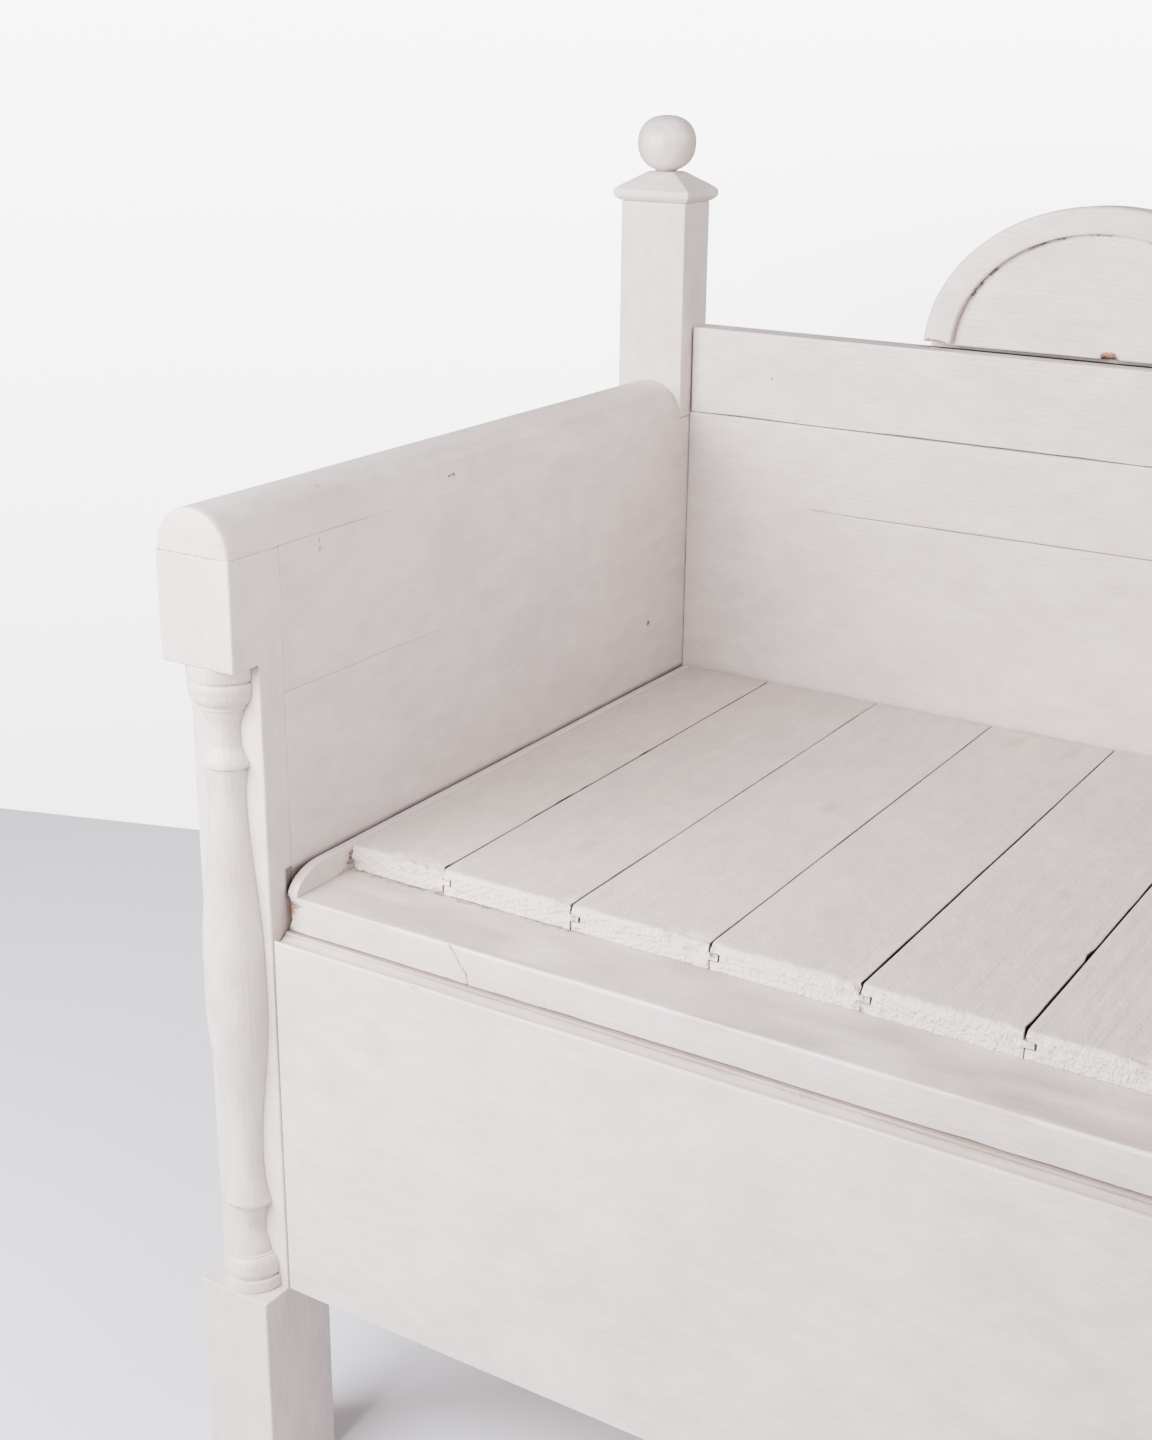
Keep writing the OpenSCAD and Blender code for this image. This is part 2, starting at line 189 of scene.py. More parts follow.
PAINT = srgb(211, 198, 194)
PAINT_COOL = srgb(196, 190, 196)
PAINT_WARM = srgb(214, 202, 193)
PAINT_LIGHT = srgb(228, 220, 214)
PAINT_DARK = srgb(178, 166, 163)
SPECK = srgb(140, 124, 114)
# Pale tone of the painted highlight that lightens arrises
PAINTED_EDGE_HIGHLIGHT = srgb(241, 236, 232)
# Darker tone towards which the seat's paint goes, as painted shade
SEAT_SHADE = srgb(166, 143, 126)
RUBBED = srgb(186, 150, 132)
# Dark tone for painted shade on some faces, and for knots and marks
SHADE = srgb(140, 122, 116)
END_PAINT, END_DARK = srgb(232, 223, 213), srgb(203, 192, 182)
BARE, BARE_DARK = srgb(168, 128, 94), srgb(118, 76, 46)
# Dark tone for dirt, and for painted shade at some joints and under edges
GRIME_AND_SHADE_TONE = srgb(74, 61, 54)
# Near-black tone of the painted shade in gaps and on hidden faces
GAP_SHADE = srgb(44, 36, 35)
PINE, PINE_RING, PINE_FIBRE, DUST = srgb(193, 170, 138), srgb(158, 127, 92), srgb(132, 106, 78), srgb(178, 169, 157)
IRON_GREY, RUST = srgb(92, 88, 85), srgb(110, 66, 42)

# The mesh's own attributes: bare wood, dirt with some painted shade, rough end grain, painted shade and knots,
# painted shade in gaps, rubbed arrises with a painted highlight
MARKS = ("wear", "grime", "open_grain", "shade", "inside", "polish")


def paint(g, along, relief=1.0, dusk=0.0):
    """Eggshell paint brushed over pine: grain shows through, brush marks run with the grain, and the mesh's marks
    say where it is rubbed, dirty or open-grained, and where painted shade and a painted highlight go. relief is how
    strongly the grain shows, and the last argument how much the paint is darkened as painted shade."""
    coords = g.grain(along)
    grain_share = relief * relief
    rings = g.rings(coords, (0.0016, 0.080, 0.080), "SIN", 5.0, 0.35)
    fibres = g.noise(coords, (0.006, 0.30, 0.30), 3.0)
    brush = g.noise(coords, (0.011, 0.75, 0.75), 2.0)
    fine = g.noise(coords, (0.05, 1.6, 1.6), 1.0, 0.5)
    mottle = g.noise(coords, (0.012, 0.020, 0.020), 3.0)
    cloud = g.noise(coords, (0.0022, 0.006, 0.006), 2.0, 0.5)
    speck = g.noise(coords, (0.20, 0.26, 0.26), 2.0, 0.7)
    peel = g.noise(coords, (0.5, 0.6, 0.6), 1.0, 0.5)
    crumbs = g.noise(coords, (0.7, 1.0, 1.0), 2.0)
    smears = g.noise(coords, (0.040, 0.075, 0.075), 4.0, 0.65)
    wear, grime, rough, shade, inside, polish = (g.mark(name) for name in MARKS)

    tone = g.mix(g.ramp(cloud, 0.35, 0.65), PAINT_COOL, PAINT_WARM)
    # painted shade: the paint darkened as a whole, on the seat
    tone = g.mix(dusk, g.mix(0.78, tone, PAINT), SEAT_SHADE)
    tone = g.tint(
        tone,
        (mottle, 0.40, 0.70, 0.38, PAINT_DARK),
        (smears, 0.50, 0.70, 0.30, PAINT_LIGHT),
        (smears, 0.48, 0.32, 0.26, PAINT_DARK),
        (brush, 0.35, 0.68, 0.05, PAINT_LIGHT),
        (fibres, 0.55, 0.75, 0.05 * relief, PAINT_DARK),
        (rings, 0.5, 1.0, 0.06 * grain_share, PAINT_DARK),
        (speck, 0.725, 0.765, 0.4, SPECK),
        # painted highlight: arrises lightened towards a pale tone
        (polish, 0.7, 1.0, 0.6, PAINTED_EDGE_HIGHLIGHT),
    )
    rubbed = g.times(g.ramp(polish, 0.35, 0.8), g.ramp(mottle, 0.50, 0.62, 0.0, 0.42))
    # painted shade on some faces, and knots and marks, from the shade mark
    tone = g.mix(shade, g.mix(rubbed, tone, RUBBED), SHADE)
    tone = g.mix(rough, tone, g.mix(g.ramp(fine, 0.3, 0.7), END_PAINT, END_DARK))
    broken = g.maths("SUBTRACT", g.add(g.times(speck, 1.2), g.times(crumbs, 1.1)), 1.15)
    bare_share = g.ramp(g.add(wear, broken), 0.60, 0.72)
    tone = g.mix(bare_share, tone, g.mix(g.ramp(crumbs, 0.35, 0.65), BARE, BARE_DARK))
    # dirt, and in some places painted shade, laid on in a dark tone
    tone = g.tint(tone, (g.add(grime, broken), 0.50, 0.80, 0.9, GRIME_AND_SHADE_TONE))
    # painted shade: gaps and hidden faces darkened towards near black
    tone = g.mix(inside, tone, GAP_SHADE)

    gloss = g.add(
        g.ramp(mottle, 0.3, 0.7, 0.40, 0.52), g.ramp(brush, 0.3, 0.7, -0.03, 0.04),
        g.times(bare_share, 0.3), g.times(rough, 0.25),
    )
    gloss = g.maths("SUBTRACT", gloss, g.times(polish, 0.24), clamp=True)
    height = g.add(
        g.times(rings, 0.06 * grain_share), g.times(fibres, 0.13 * grain_share), g.times(brush, 0.24),
        g.times(smears, 1.1), g.times(peel, 0.26), g.times(fine, 0.10),
        g.times(speck, rough, 1.7), g.times(bare_share, -0.5),
    )
    g.surface(tone, gloss, height, 0.9 * relief, 0.0009)


def bare_pine(g, along):
    """Dry unpainted pine: growth rings, fibres and dust."""
    coords = g.grain(along)
    rings = g.rings(coords, (0.0014, 0.05, 0.05), "SAW", 4.0)
    fibres = g.noise(coords, (0.01, 0.6, 0.6), 3.0)
    dust = g.noise(coords, (0.02, 0.03, 0.03), 3.0)
    tone = g.mix(g.ramp(rings, 0.2, 1.0), PINE, PINE_RING)
    tone = g.tint(tone, (fibres, 0.35, 0.75, 0.5, PINE_FIBRE), (dust, 0.42, 0.72, 0.6, DUST))
    g.surface(tone, g.ramp(dust, 0.3, 0.7, 0.65, 0.85), g.add(g.times(rings, 0.4), fibres), 0.6, 0.0006)


def dull_iron(g):
    """Dull dark iron with rust in patches."""
    coords = g.grain("x")
    patches = g.noise(coords, (0.35, 0.35, 0.35), 4.0, 0.65)
    pits = g.noise(coords, (1.5, 1.5, 1.5), 2.0)
    g.shader.inputs["Metallic"].default_value = 0.75
    tone = g.mix(g.ramp(patches, 0.45, 0.65), IRON_GREY, RUST)
    g.surface(tone, g.ramp(patches, 0.35, 0.65, 0.42, 0.75), pits, 0.5, 0.0003)


PAINTS = {a: material("painted_pine_" + a, paint, a) for a in "xyz"}
SEAT_PAINT = material("seat_paint", paint, "y", 1.6, 0.22)
PINES = {a: material("bare_pine_" + a, bare_pine, a) for a in "xy"}
IRON = material("dull_iron", dull_iron)


# -------------------------------------------------------------- meshing ----

def lines(values, step, edge=2.5):
    """Grid lines through the wanted values, with one close on each side of every value and the rest no
    further apart than step."""
    values = sorted(set(round(v, 4) for v in values))
    wanted = set(values)
    for a, b in zip(values, values[1:]):
        if edge and b - a > 2.6 * edge:
            wanted.update((a + edge, b - edge))
    wanted = sorted(wanted)
    out = []
    for a, b in zip(wanted, wanted[1:]):
        n = max(1, int(math.ceil((b - a) / step - 1e-6)))
        out += [a + (b - a) * k / n for k in range(n)]
    return np.array(out + [wanted[-1]])


def runs(*parts):
    """Evenly spaced grid lines in parts that follow each other, each (start, end, step)."""
    made = [lines((start, end), step, 0) for start, end, step in parts]
    return np.concatenate([part[:-1] for part in made[:-1]] + [made[-1]])


def cells(xs, ys, zs, filled):
    """Closed skin round the filled cells of a grid: points in mm and quads."""
    axes = [np.asarray(a, float) for a in (xs, ys, zs)]
    inside = filled(*np.meshgrid(*((a[1:] + a[:-1]) / 2 for a in axes), indexing="ij"))
    pad = np.pad(inside, 1)
    quads = []
    for axis in range(3):
        lower, upper = [slice(1, -1)] * 3, [slice(1, -1)] * 3
        lower[axis], upper[axis] = slice(0, -1), slice(1, None)
        low, high = pad[tuple(lower)], pad[tuple(upper)]
        b, c = [(1, 2), (2, 0), (0, 1)][axis]
        for wall, flip in ((low & ~high, False), (high & ~low, True)):
            at = np.argwhere(wall)
            if not len(at):
                continue
            corners = []
            for db, dc in ((0, 0), (1, 0), (1, 1), (0, 1)):
                p = at.copy()
                p[:, b] += db
                p[:, c] += dc
                corners.append(p)
            quads.append(np.stack(corners[::-1] if flip else corners, 1))
    quads = np.concatenate(quads)
    size = [len(a) for a in axes]
    flat = (quads[..., 0] * size[1] + quads[..., 1]) * size[2] + quads[..., 2]
    used, index = np.unique(flat.ravel(), return_inverse=True)
    points = np.stack([a[n] for a, n in zip(axes, np.unravel_index(used, size))], 1)
    return points, index.reshape(-1, 4)


def boxes(add, cut=()):
    """A test for cells(): inside any box of add and outside every box of cut. A box is (low, high)."""
    def test(x, y, z):
        def within(box):
            (x0, y0, z0), (x1, y1, z1) = box
            return (x > x0) & (x < x1) & (y > y0) & (y < y1) & (z > z0) & (z < z1)
        inside = np.zeros(x.shape, bool)
        for b in add:
            inside |= within(b)
        for b in cut:
            inside &= ~within(b)
        return inside
    return test


def skin(rings):
    """Points and faces through rings of equally many points, with a flat face over each end."""
    n = len(rings[0])
    last = (len(rings) - 1) * n
    faces = [
        [s + k, s + (k + 1) % n, s + n + (k + 1) % n, s + n + k] for s in range(0, last, n) for k in range(n)
    ]
    return [p for ring in rings for p in ring], faces + [list(range(n))[::-1], list(range(last, last + n))]


def lathe(profile, segments, start=0.0, turn=360.0):
    """A turned solid from (radius, height) points, bottom to top. A part turn is closed by a flat back."""
    whole = turn >= 359.9
    count = segments if whole else segments + 1
    points, rings = [], []
    for r, z in profile:
        if r < 1e-6:
            rings.append([len(points)] * count)
            points.append((0.0, 0.0, z))
            continue
        rings.append(range(len(points), len(points) + count))
        for k in range(count):
            a = math.radians(start + turn * k / segments)
            points.append((r * math.cos(a), r * math.sin(a), z))
    faces = []
    for low, high in zip(rings, rings[1:]):
        around = [
            [low[k], low[(k + 1) % count], high[(k + 1) % count], high[k]]
            for k in (range(count) if whole else range(count - 1))
        ]
        if not whole:
            around.append([low[-1], low[0], high[0], high[-1]])
        for face in around:
            clean = [f for n, f in enumerate(face) if f not in face[:n]]
            if len(clean) > 2:
                faces.append(clean)
    return points, faces


def start_mesh(points, faces):
    bm = bmesh.new()
    made = [bm.verts.new(p) for p in points]
    for f in faces:
        bm.faces.new([made[i] for i in f])
    bm.normal_update()
    return bm


def join(bm, other):
    """Puts the other bmesh into bm, and frees it."""
    mesh = bpy.data.meshes.new("joined")
    other.to_mesh(mesh)
    other.free()
    bm.from_mesh(mesh)
    bpy.data.meshes.remove(mesh)


SHARP_EDGE = 50.0   # degrees between two faces from which soften() rounds their edge


def soften(bm, width, segments=3, profile=0.55, keep=None):
    """Rounds the sharp outward edges. keep says, for an edge's middle point, whether it stays sharp."""
    chosen = [
        e for e in bm.edges
        if len(e.link_faces) == 2 and e.is_convex and math.degrees(e.calc_face_angle(0.0)) >= SHARP_EDGE
        and not (keep and keep((e.verts[0].co + e.verts[1].co) / 2))
    ]
    if chosen:
        bmesh.ops.bevel(
            bm, geom=chosen, offset=width, offset_type="OFFSET", segments=segments,
            profile=profile, affect="EDGES", clamp_overlap=True,
        )
    bm.normal_update()


def bm_arrays(bm):
    bm.verts.index_update()
    co = np.array([v.co for v in bm.verts], float).reshape(-1, 3)
    no = np.array([v.normal for v in bm.verts], float).reshape(-1, 3)
    return co, no


def move_points(bm, change):
    """Moves the points to change(points, normals), which may write into the points it is given."""
    for v, p in zip(bm.verts, change(*bm_arrays(bm))):
        v.co = p
    bm.normal_update()


def weather(bm, seed, wander=0.25, arris=0.35):
    """Hand-planed unevenness: faces wander a little and rounded edges are worn back unevenly, inwards only."""
    def worn_back(co, no):
        slant = smooth_step((1 - np.abs(no).max(1)) / 0.25)
        push = -wander * (0.5 + 0.5 * soft(co, 90, seed)) - 0.3 * wander * (0.5 + 0.5 * soft(co, 23, seed + 1))
        worn = np.clip(soft(co, 34, seed + 2) * 0.7 + soft(co, 9, seed + 3) * 0.45 + 0.15, 0, 1)
        return co + no * (push - slant * arris * worn)[:, None]
    move_points(bm, worn_back)


def mirrored(bm, sign):
    """The right-hand twin of a piece modelled on the left."""
    if sign > 0:
        return
    for v in bm.verts:
        v.co.x = -v.co.x
    bmesh.ops.reverse_faces(bm, faces=bm.faces)
    bm.normal_update()


piece_count = 0


def finish_piece(name, bm, look, marks=None, body="bench", sharp=38.0):
    """Turns a bmesh in mm into a piece that rides on a body and stands for the CAD node of its name. marks is
    a function from points in mm and normals to the values of MARKS."""
    global piece_count
    piece_count += 1
    bmesh.ops.remove_doubles(bm, verts=bm.verts, dist=0.005)
    bmesh.ops.dissolve_degenerate(bm, dist=0.01, edges=bm.edges)
    bmesh.ops.recalc_face_normals(bm, faces=bm.faces)
    bm.normal_update()
    co, no = bm_arrays(bm)
    mesh = bpy.data.meshes.new(name)
    bm.to_mesh(mesh)
    bm.free()
    mesh.vertices.foreach_set("co", (co * MM).ravel())
    mesh.polygons.foreach_set("use_smooth", np.ones(len(mesh.polygons), bool))
    mesh.set_sharp_from_angle(angle=math.radians(sharp))
    values = {key: np.zeros(len(co)) for key in MARKS}
    values["piece_no"] = np.full(len(co), float(piece_count))
    if marks is not None:
        values.update(marks(co, no))
    for key, value in values.items():
        attribute = mesh.attributes.new(key, "FLOAT", "POINT")
        attribute.data.foreach_set("value", np.clip(value, 0, 999).astype(np.float32))
    mesh.materials.append(look)
    mesh.update()
    made = bpy.data.objects.new(name, mesh)
    bpy.context.scene.collection.objects.link(made)
    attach(made, body)
    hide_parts(name)


def box_mm(name):
    low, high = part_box(name)
    return np.array(low) / MM, np.array(high) / MM


# ------------------------------------------------------------ main sizes ---

post_lo, post_hi = box_mm("front_post_left")
bpost_lo, bpost_hi = box_mm("back_post_left")
crest_lo, crest_hi = box_mm("crest_rail")
column_lo, column_hi = box_mm("half_column_left")
side_lo, side_hi = box_mm("side_board_left_1")
POST_X, Y0 = post_lo[:2]            # outer face and front of the front post
HALF_L = -post_hi[0]                # half the clear width between the posts
CENTRE_X = (POST_X - HALF_L) / 2    # middle of the left posts
POST_BACK, ARM_SEAM = post_hi[1:]
BACK_Y = bpost_lo[1]
CREST_TOP = crest_hi[2]
BOX_Z = column_lo[2]                # top of the leg block
STILE_Y, BLOCK_Z = column_hi[1:]    # face of the stile and foot of the arm block
SEAT_Z = box_mm("seat_board_1")[1][2]
LID_FRONT = box_mm("lid_front_rail")[0][1]
SIDE_X, SIDE_Y = side_lo[:2]
BACK_FACE = side_hi[1]


# --------------------------------------------------------- plain timbers ---

def add_mark(out, kind, value):
    out[kind] = np.maximum(out[kind], value)


def fade(distance, reach):
    """1 at no distance, falling to 0 at reach, both in mm."""
    return smooth_step(1 - distance / reach)


def beside_lid(co, no, side):
    """Band of painted shade where the lid's end runs past a side: only the faces turned to the lid."""
    facing = (no[:, 0] * side > 0.6) * (co[:, 1] > LID_FRONT + 3)
    band = smooth_step((SEAT_Z + 1.0 - co[:, 2]) / 1.5) * smooth_step((co[:, 2] - SEAT_Z + 24) / 8)
    return facing * band


def plain_marks(amount=0.25, seed=0, spots=(), beside=0.0):
    """Marks for a painted timber: a little dirt and a painted highlight on slanting edge faces, plus spots, each
    (mark, centre, half axes, strength). beside is the side, 1 or -1, whose face gets painted shade where the lid
    runs past it."""
    def marks(co, no):
        slant = smooth_step((1 - np.abs(no).max(1)) / 0.3)
        out = {key: np.zeros(len(co)) for key in MARKS}
        out["wear"] = slant * 0.10 * (soft(co, 25, seed) > 0.55)
        out["grime"] = slant * amount * np.clip(soft(co, 40, seed + 5) + 0.3, 0, 1)
        # painted highlight along the arrises, which are also rubbed and glossier
        out["polish"] = slant * np.clip(0.75 + 0.6 * soft(co, 60, seed + 6), 0, 1)
        for kind, centre, size, strength in spots:
            add_mark(out, kind, strength * near(co, centre, size))
        # painted shade in the gap beside the lid's end
        if beside:
            add_mark(out, "inside", (0.84 + 0.15 * soft(co, 30, seed + 7)) * beside_lid(co, no, beside))
        return out
    return marks


def through_spots(values, axis, side, spots):
    """Lattice values with more lines across each small spot, so that its mark has points to sit on."""
    values = sorted(values)
    for _, centre, size, _ in spots:
        middle = centre[axis] * (side if axis == 0 else 1.0)
        for share in (-1.0, -0.5, 0.0, 0.5, 1.0):
            at = middle + share * size[axis]
            if values[0] < at < values[-1] and min(abs(at - v) for v in values) > 0.4:
                values = sorted(values + [at])
    return values


def timber(name, xs, ys, zs, test, along, seed, side=1.0, body="bench", step=(24, 24, 24), arris=1.0,
           wander=0.22, worn=0.3, marks=None, keep=None, shape=None, look=None, slot="paint", segments=3,
           spots=()):
    """An axis-aligned timber drawn as cells, with softened and worn edges."""
    grids = [lines(through_spots(v, n, side, spots), step[n]) for n, v in enumerate((xs, ys, zs))]
    bm = start_mesh(*cells(*grids, test))
    soften(bm, arris, segments, keep=keep)
    weather(bm, seed, wander, worn)
    if shape is not None:
        move_points(bm, shape)
    mirrored(bm, side)
    finish_piece(name, bm, look or PAINTS[along], marks or plain_marks(seed=seed), body)


def board(name, low, high, along, seed, side=1.0, **more):
    timber(name, *zip(low, high), boxes([(low, high)]), along, seed, side, **more)


# ---------------------------------------------------------------- posts ----

def front_post(side, sign):
    post = ((POST_X, Y0, 0), (-HALF_L, POST_BACK, ARM_SEAM))
    notch = ((POST_X - 1, Y0 - 1, BOX_Z), (-HALF_L + 1, STILE_Y, BLOCK_Z))
    rebate = ((SIDE_X, SIDE_Y, BOX_Z), (-HALF_L + 1, POST_BACK + 1, ARM_SEAM + 1))
    timber(
        "front_post_" + side, (POST_X, SIDE_X, -HALF_L), (Y0, STILE_Y, LID_FRONT + 3, SIDE_Y, POST_BACK),
        (0, BOX_Z, SEAT_Z - 30, SEAT_Z - 22, SEAT_Z - 12, SEAT_Z - 0.5, SEAT_Z + 1.5, BLOCK_Z, ARM_SEAM),
        boxes([post], [notch, rebate]), "z", 11 + int(sign), sign,
        step=(10, 12, 22), arris=1.5, worn=0.5, segments=4,
        marks=plain_marks(seed=12, beside=sign, spots=[
            ("grime", (sign * CENTRE_X, Y0, ARM_SEAM), (60, 3, 1.6), 0.62),
            ("grime", (-sign * (HALF_L + 3), STILE_Y, BLOCK_Z), (4, 4, 3.5), 0.9),
            ("grime", (-sign * (HALF_L + 1), STILE_Y - 1, BLOCK_Z - 12), (2, 3, 3), 0.8),
            ("grime", (sign * POST_X, Y0, BLOCK_Z + 32), (2, 2, 2.5), 0.9),
            ("wear", (-sign * HALF_L, STILE_Y, BOX_Z + 60), (2.5, 3, 12), 0.8),
        ]), keep=lambda p: abs(p.y - SIDE_Y) < 0.5 and abs(p.x + HALF_L) < 0.5,
    )


def back_post(side, sign):
    rebate = ((SIDE_X, BACK_Y - 1, BOX_Z), (-HALF_L + 1, BACK_FACE, ARM_SEAM))
    timber(
        "back_post_" + side, (POST_X, SIDE_X, -HALF_L), (BACK_Y, BACK_FACE, bpost_hi[1]),
        (0, BOX_Z, ARM_SEAM, bpost_hi[2]), boxes([(bpost_lo, bpost_hi)], [rebate]), "z", 21 + int(sign), sign,
        step=(10, 10, 22), arris=1.3, worn=0.4,
    )


CAP_LEVELS = (
    # height, share of the way from the post to the edge, and from the edge to the top flat
    (0.0, 0.20, 0.0), (0.9, 0.42, 0.0), (2.0, 0.68, 0.0), (3.2, 0.88, 0.0), (4.2, 0.97, 0.0), (5.2, 1.0, 0.0),
    (7.8, 1.0, 0.0), (8.8, 0.985, 0.0), (9.4, 0.94, 0.012), (11.5, 0.0, 0.15), (14.2, 0.0, 0.34),
    (17.2, 0.0, 0.57), (20.3, 0.0, 0.80), (22.2, 0.0, 0.94), (23.0, 0.0, 1.04),
)
CAP_FLAT = np.array([12.0, 9.6])      # half sizes of the flat on top of the cap
CAP_PER_SIDE, CAP_CORNER = 8, 0.6     # points along each side, and the corners' radius


def post_cap(side, sign):
    """Low pyramid: a convex bevel below, a short upright edge and four slopes."""
    low, high = box_mm("post_cap_left")
    centre = (low + high) / 2
    edge = (high - low)[:2] / 2
    post = np.array([(-HALF_L - POST_X) / 2, (bpost_hi[1] - BACK_Y) / 2])
    round_over = CAP_CORNER * math.cos(math.radians(45)) - CAP_CORNER
    rings = []
    for z, out, up in CAP_LEVELS:
        half = (post + (edge - post) * out if out else edge) + (CAP_FLAT - edge) * up
        ring = []
        for c, s, (ux, uy) in ((1, 0, half), (0, 1, half[::-1]), (-1, 0, half), (0, -1, half[::-1])):
            run = [(ux, (2 * k / CAP_PER_SIDE - 1) * (uy - CAP_CORNER)) for k in range(CAP_PER_SIDE + 1)]
            run.append((ux + round_over, uy + round_over))
            ring += [(centre[0] + c * x - s * y, centre[1] + s * x + c * y, low[2] + z) for x, y in run]
        rings.append(ring)
    bm = start_mesh(*skin(rings))
    weather(bm, 31 + int(sign), 0.25, 0.3)
    mirrored(bm, sign)
    finish_piece(
        "post_cap_" + side, bm, PAINTS["x"], plain_marks(0.1, seed=33, spots=[
            # painted shade on the cap's top round the ball, and a painted shadow line along the cap's foot
            ("shade", (sign * centre[0], centre[1], high[2]), (24, 22, 4), 0.35),
            ("grime", (sign * centre[0], centre[1], low[2]), (60, 60, 1.6), 0.62),
        ]), sharp=14.0,
    )


def ball_finial(side, sign):
    """Turned ball, slightly squashed, on a short foot that sits on the cap."""
    low, high = box_mm("ball_finial_left")
    centre = (low + high) / 2
    radius = (high[0] - low[0]) / 2
    foot = high[2] - radius - math.sqrt(radius ** 2 - 12.0 ** 2)
    top = high[2] - 0.9
    middle = (top + foot) / 2 + 0.6
    outline = [(0.0, foot), (8.0, foot)]
    for k in range(37):
        a = math.radians(-68 + 158 * k / 36)
        c, up = math.cos(a), math.sin(a)
        tall = (top - middle) if up > 0 else (middle - foot)
        outline.append((
            max(0.0, radius * 0.999 * max(c, 0.0) ** 0.84),
            max(foot + 0.25, middle + tall * math.copysign(abs(up) ** 0.94, up)),
        ))
    outline[-1] = (0.0, top)
    bm = start_mesh(*lathe(outline, 56))
    for v in bm.verts:
        v.co.x += centre[0]
        v.co.y += centre[1]
    weather(bm, 41 + int(sign), 0.30, 0.0)
    mirrored(bm, sign)
    finish_piece("ball_finial_" + side, bm, PAINTS["z"], plain_marks(0.0, seed=43, spots=[
        # painted shade where the ball sits on the cap
        ("grime", (sign * centre[0], centre[1], foot), (17, 17, 3.0), 0.5),
        ("polish", (sign * centre[0], centre[1], middle), (60, 60, 60), 0.7),
    ]))


# ---------------------------------------------------------------- column ---

# Turning above the leg block: height, radius, and how the line goes on to the next point:
# l straight, s smooth sweep, c hollow widening, d hollow narrowing, o bulge
TURNING = (
    (0.0, 23.4, "l"), (0.7, 23.8, "l"), (8.4, 23.7, "l"), (9.0, 23.0, "l"), (9.2, 20.8, "o"), (17.2, 22.3, "o"),
    (25.0, 19.2, "l"), (25.3, 18.2, "l"), (26.6, 17.8, "l"), (27.0, 16.6, "s"), (45.0, 12.3, "s"), (60.0, 14.2, "c"),
    (65.6, 17.2, "l"), (66.4, 18.9, "o"), (69.4, 18.7, "d"), (104.0, 13.4, "s"), (222.0, 23.7, "l"),
    (236.0, 23.8, "l"), (252.0, 23.6, "s"), (372.0, 14.3, "s"), (391.2, 16.2, "l"), (392.0, 17.9, "o"),
    (393.2, 18.6, "s"), (407.5, 12.4, "l"), (418.0, 12.1, "s"), (431.0, 15.8, "l"), (431.6, 17.6, "l"),
    (434.2, 18.0, "l"), (434.8, 19.2, "o"), (443.5, 23.0, "o"), (449.8, 23.0, "l"), (450.3, 21.6, "l"),
    (451.3, 21.6, "l"), (451.8, 23.4, "l"), (452.6, 23.8, "l"), (461.4, 23.8, "l"), (462.0, 23.4, "l"),
)
TURNED_HEIGHT = TURNING[-1][0]
TURNED_MOST = 23.8                                # the column's largest radius
DARKENED_RINGS = (25.4, 391.4, 432.4, 450.6, 9.1)    # heights of the quirks that are darkened
SWEEPS = {
    "l": lambda t: t,
    "o": lambda t: t,
    "s": lambda t: (1 - math.cos(math.pi * t)) / 2,
    "c": lambda t: t * t,
    "d": lambda t: 1 - (1 - t) ** 2.6,
}


def turned_outline():
    out = []
    for (z0, r0, kind), (z1, r1, _) in zip(TURNING, TURNING[1:]):
        steps = 1 if kind == "l" else max(4, int((z1 - z0) / 2.2))
        bulge = 0.55 * min(3.0, (z1 - z0) * 0.28) if kind == "o" else 0.0
        for t in (k / steps for k in range(steps)):
            r = r0 + (r1 - r0) * SWEEPS[kind](t) + bulge * math.sin(math.pi * t)
            out.append((min(r, TURNED_MOST), z0 + (z1 - z0) * t))
    return out + [(TURNING[-1][1], TURNED_HEIGHT)]


def half_column(side, sign):
    scale = (BLOCK_Z - BOX_Z) / TURNED_HEIGHT
    outline = [(0.0, 0.0)] + turned_outline() + [(0.0, TURNED_HEIGHT)]
    bm = start_mesh(*lathe([(r, z * scale) for r, z in outline], 40, 180.0, 180.0))
    for v in bm.verts:
        v.co.x += CENTRE_X
        v.co.y += STILE_Y
        v.co.z += BOX_Z
    weather(bm, 51 + int(sign), 0.18, 0.0)
    for v in bm.verts:
        v.co.y = min(v.co.y, STILE_Y)
    mirrored(bm, sign)

    def marks(co, no):
        out = plain_marks(0.0, 53)(co, no)
        out["polish"] = np.full(len(co), 0.55)
        for height in DARKENED_RINGS:
            ring = fade(np.abs(co[:, 2] - BOX_Z - height * scale), 1.6)
            add_mark(out, "grime", 0.42 * ring * np.clip(0.7 + soft(co, 12, 54), 0, 1))
        add_mark(out, "wear", 0.5 * near(co, (sign * CENTRE_X, STILE_Y - 19, BOX_Z + 67), (12, 8, 2)))
        return out

    finish_piece("half_column_" + side, bm, PAINTS["z"], marks, sharp=26.0)


# ------------------------------------------------------- arms and sides ----

FILLED_FACE = 0.12   # how far behind the corner a filled joint's arris stays


def fill_seam(co, axis, at, face, face_at, share):
    """Closes a joint where paint has filled it: arris points within a millimetre go back to the corner."""
    w = share * (np.abs(co[:, axis] - at) < 1.0) * (np.abs(co[:, face] - face_at) < 1.0)
    co[:, axis] += (at - co[:, axis]) * w
    co[:, face] += (face_at - co[:, face]) * w
    return co


def arm_seam(co, seam, open_until):
    """Fills a joint of the arm's inner face behind open_until."""
    return fill_seam(co, 2, seam, 0, -HALF_L - FILLED_FACE, smooth_step((co[:, 1] - open_until) / 70))


NICKS = (-71, -200)   # where the arm rail's lower edge is chipped


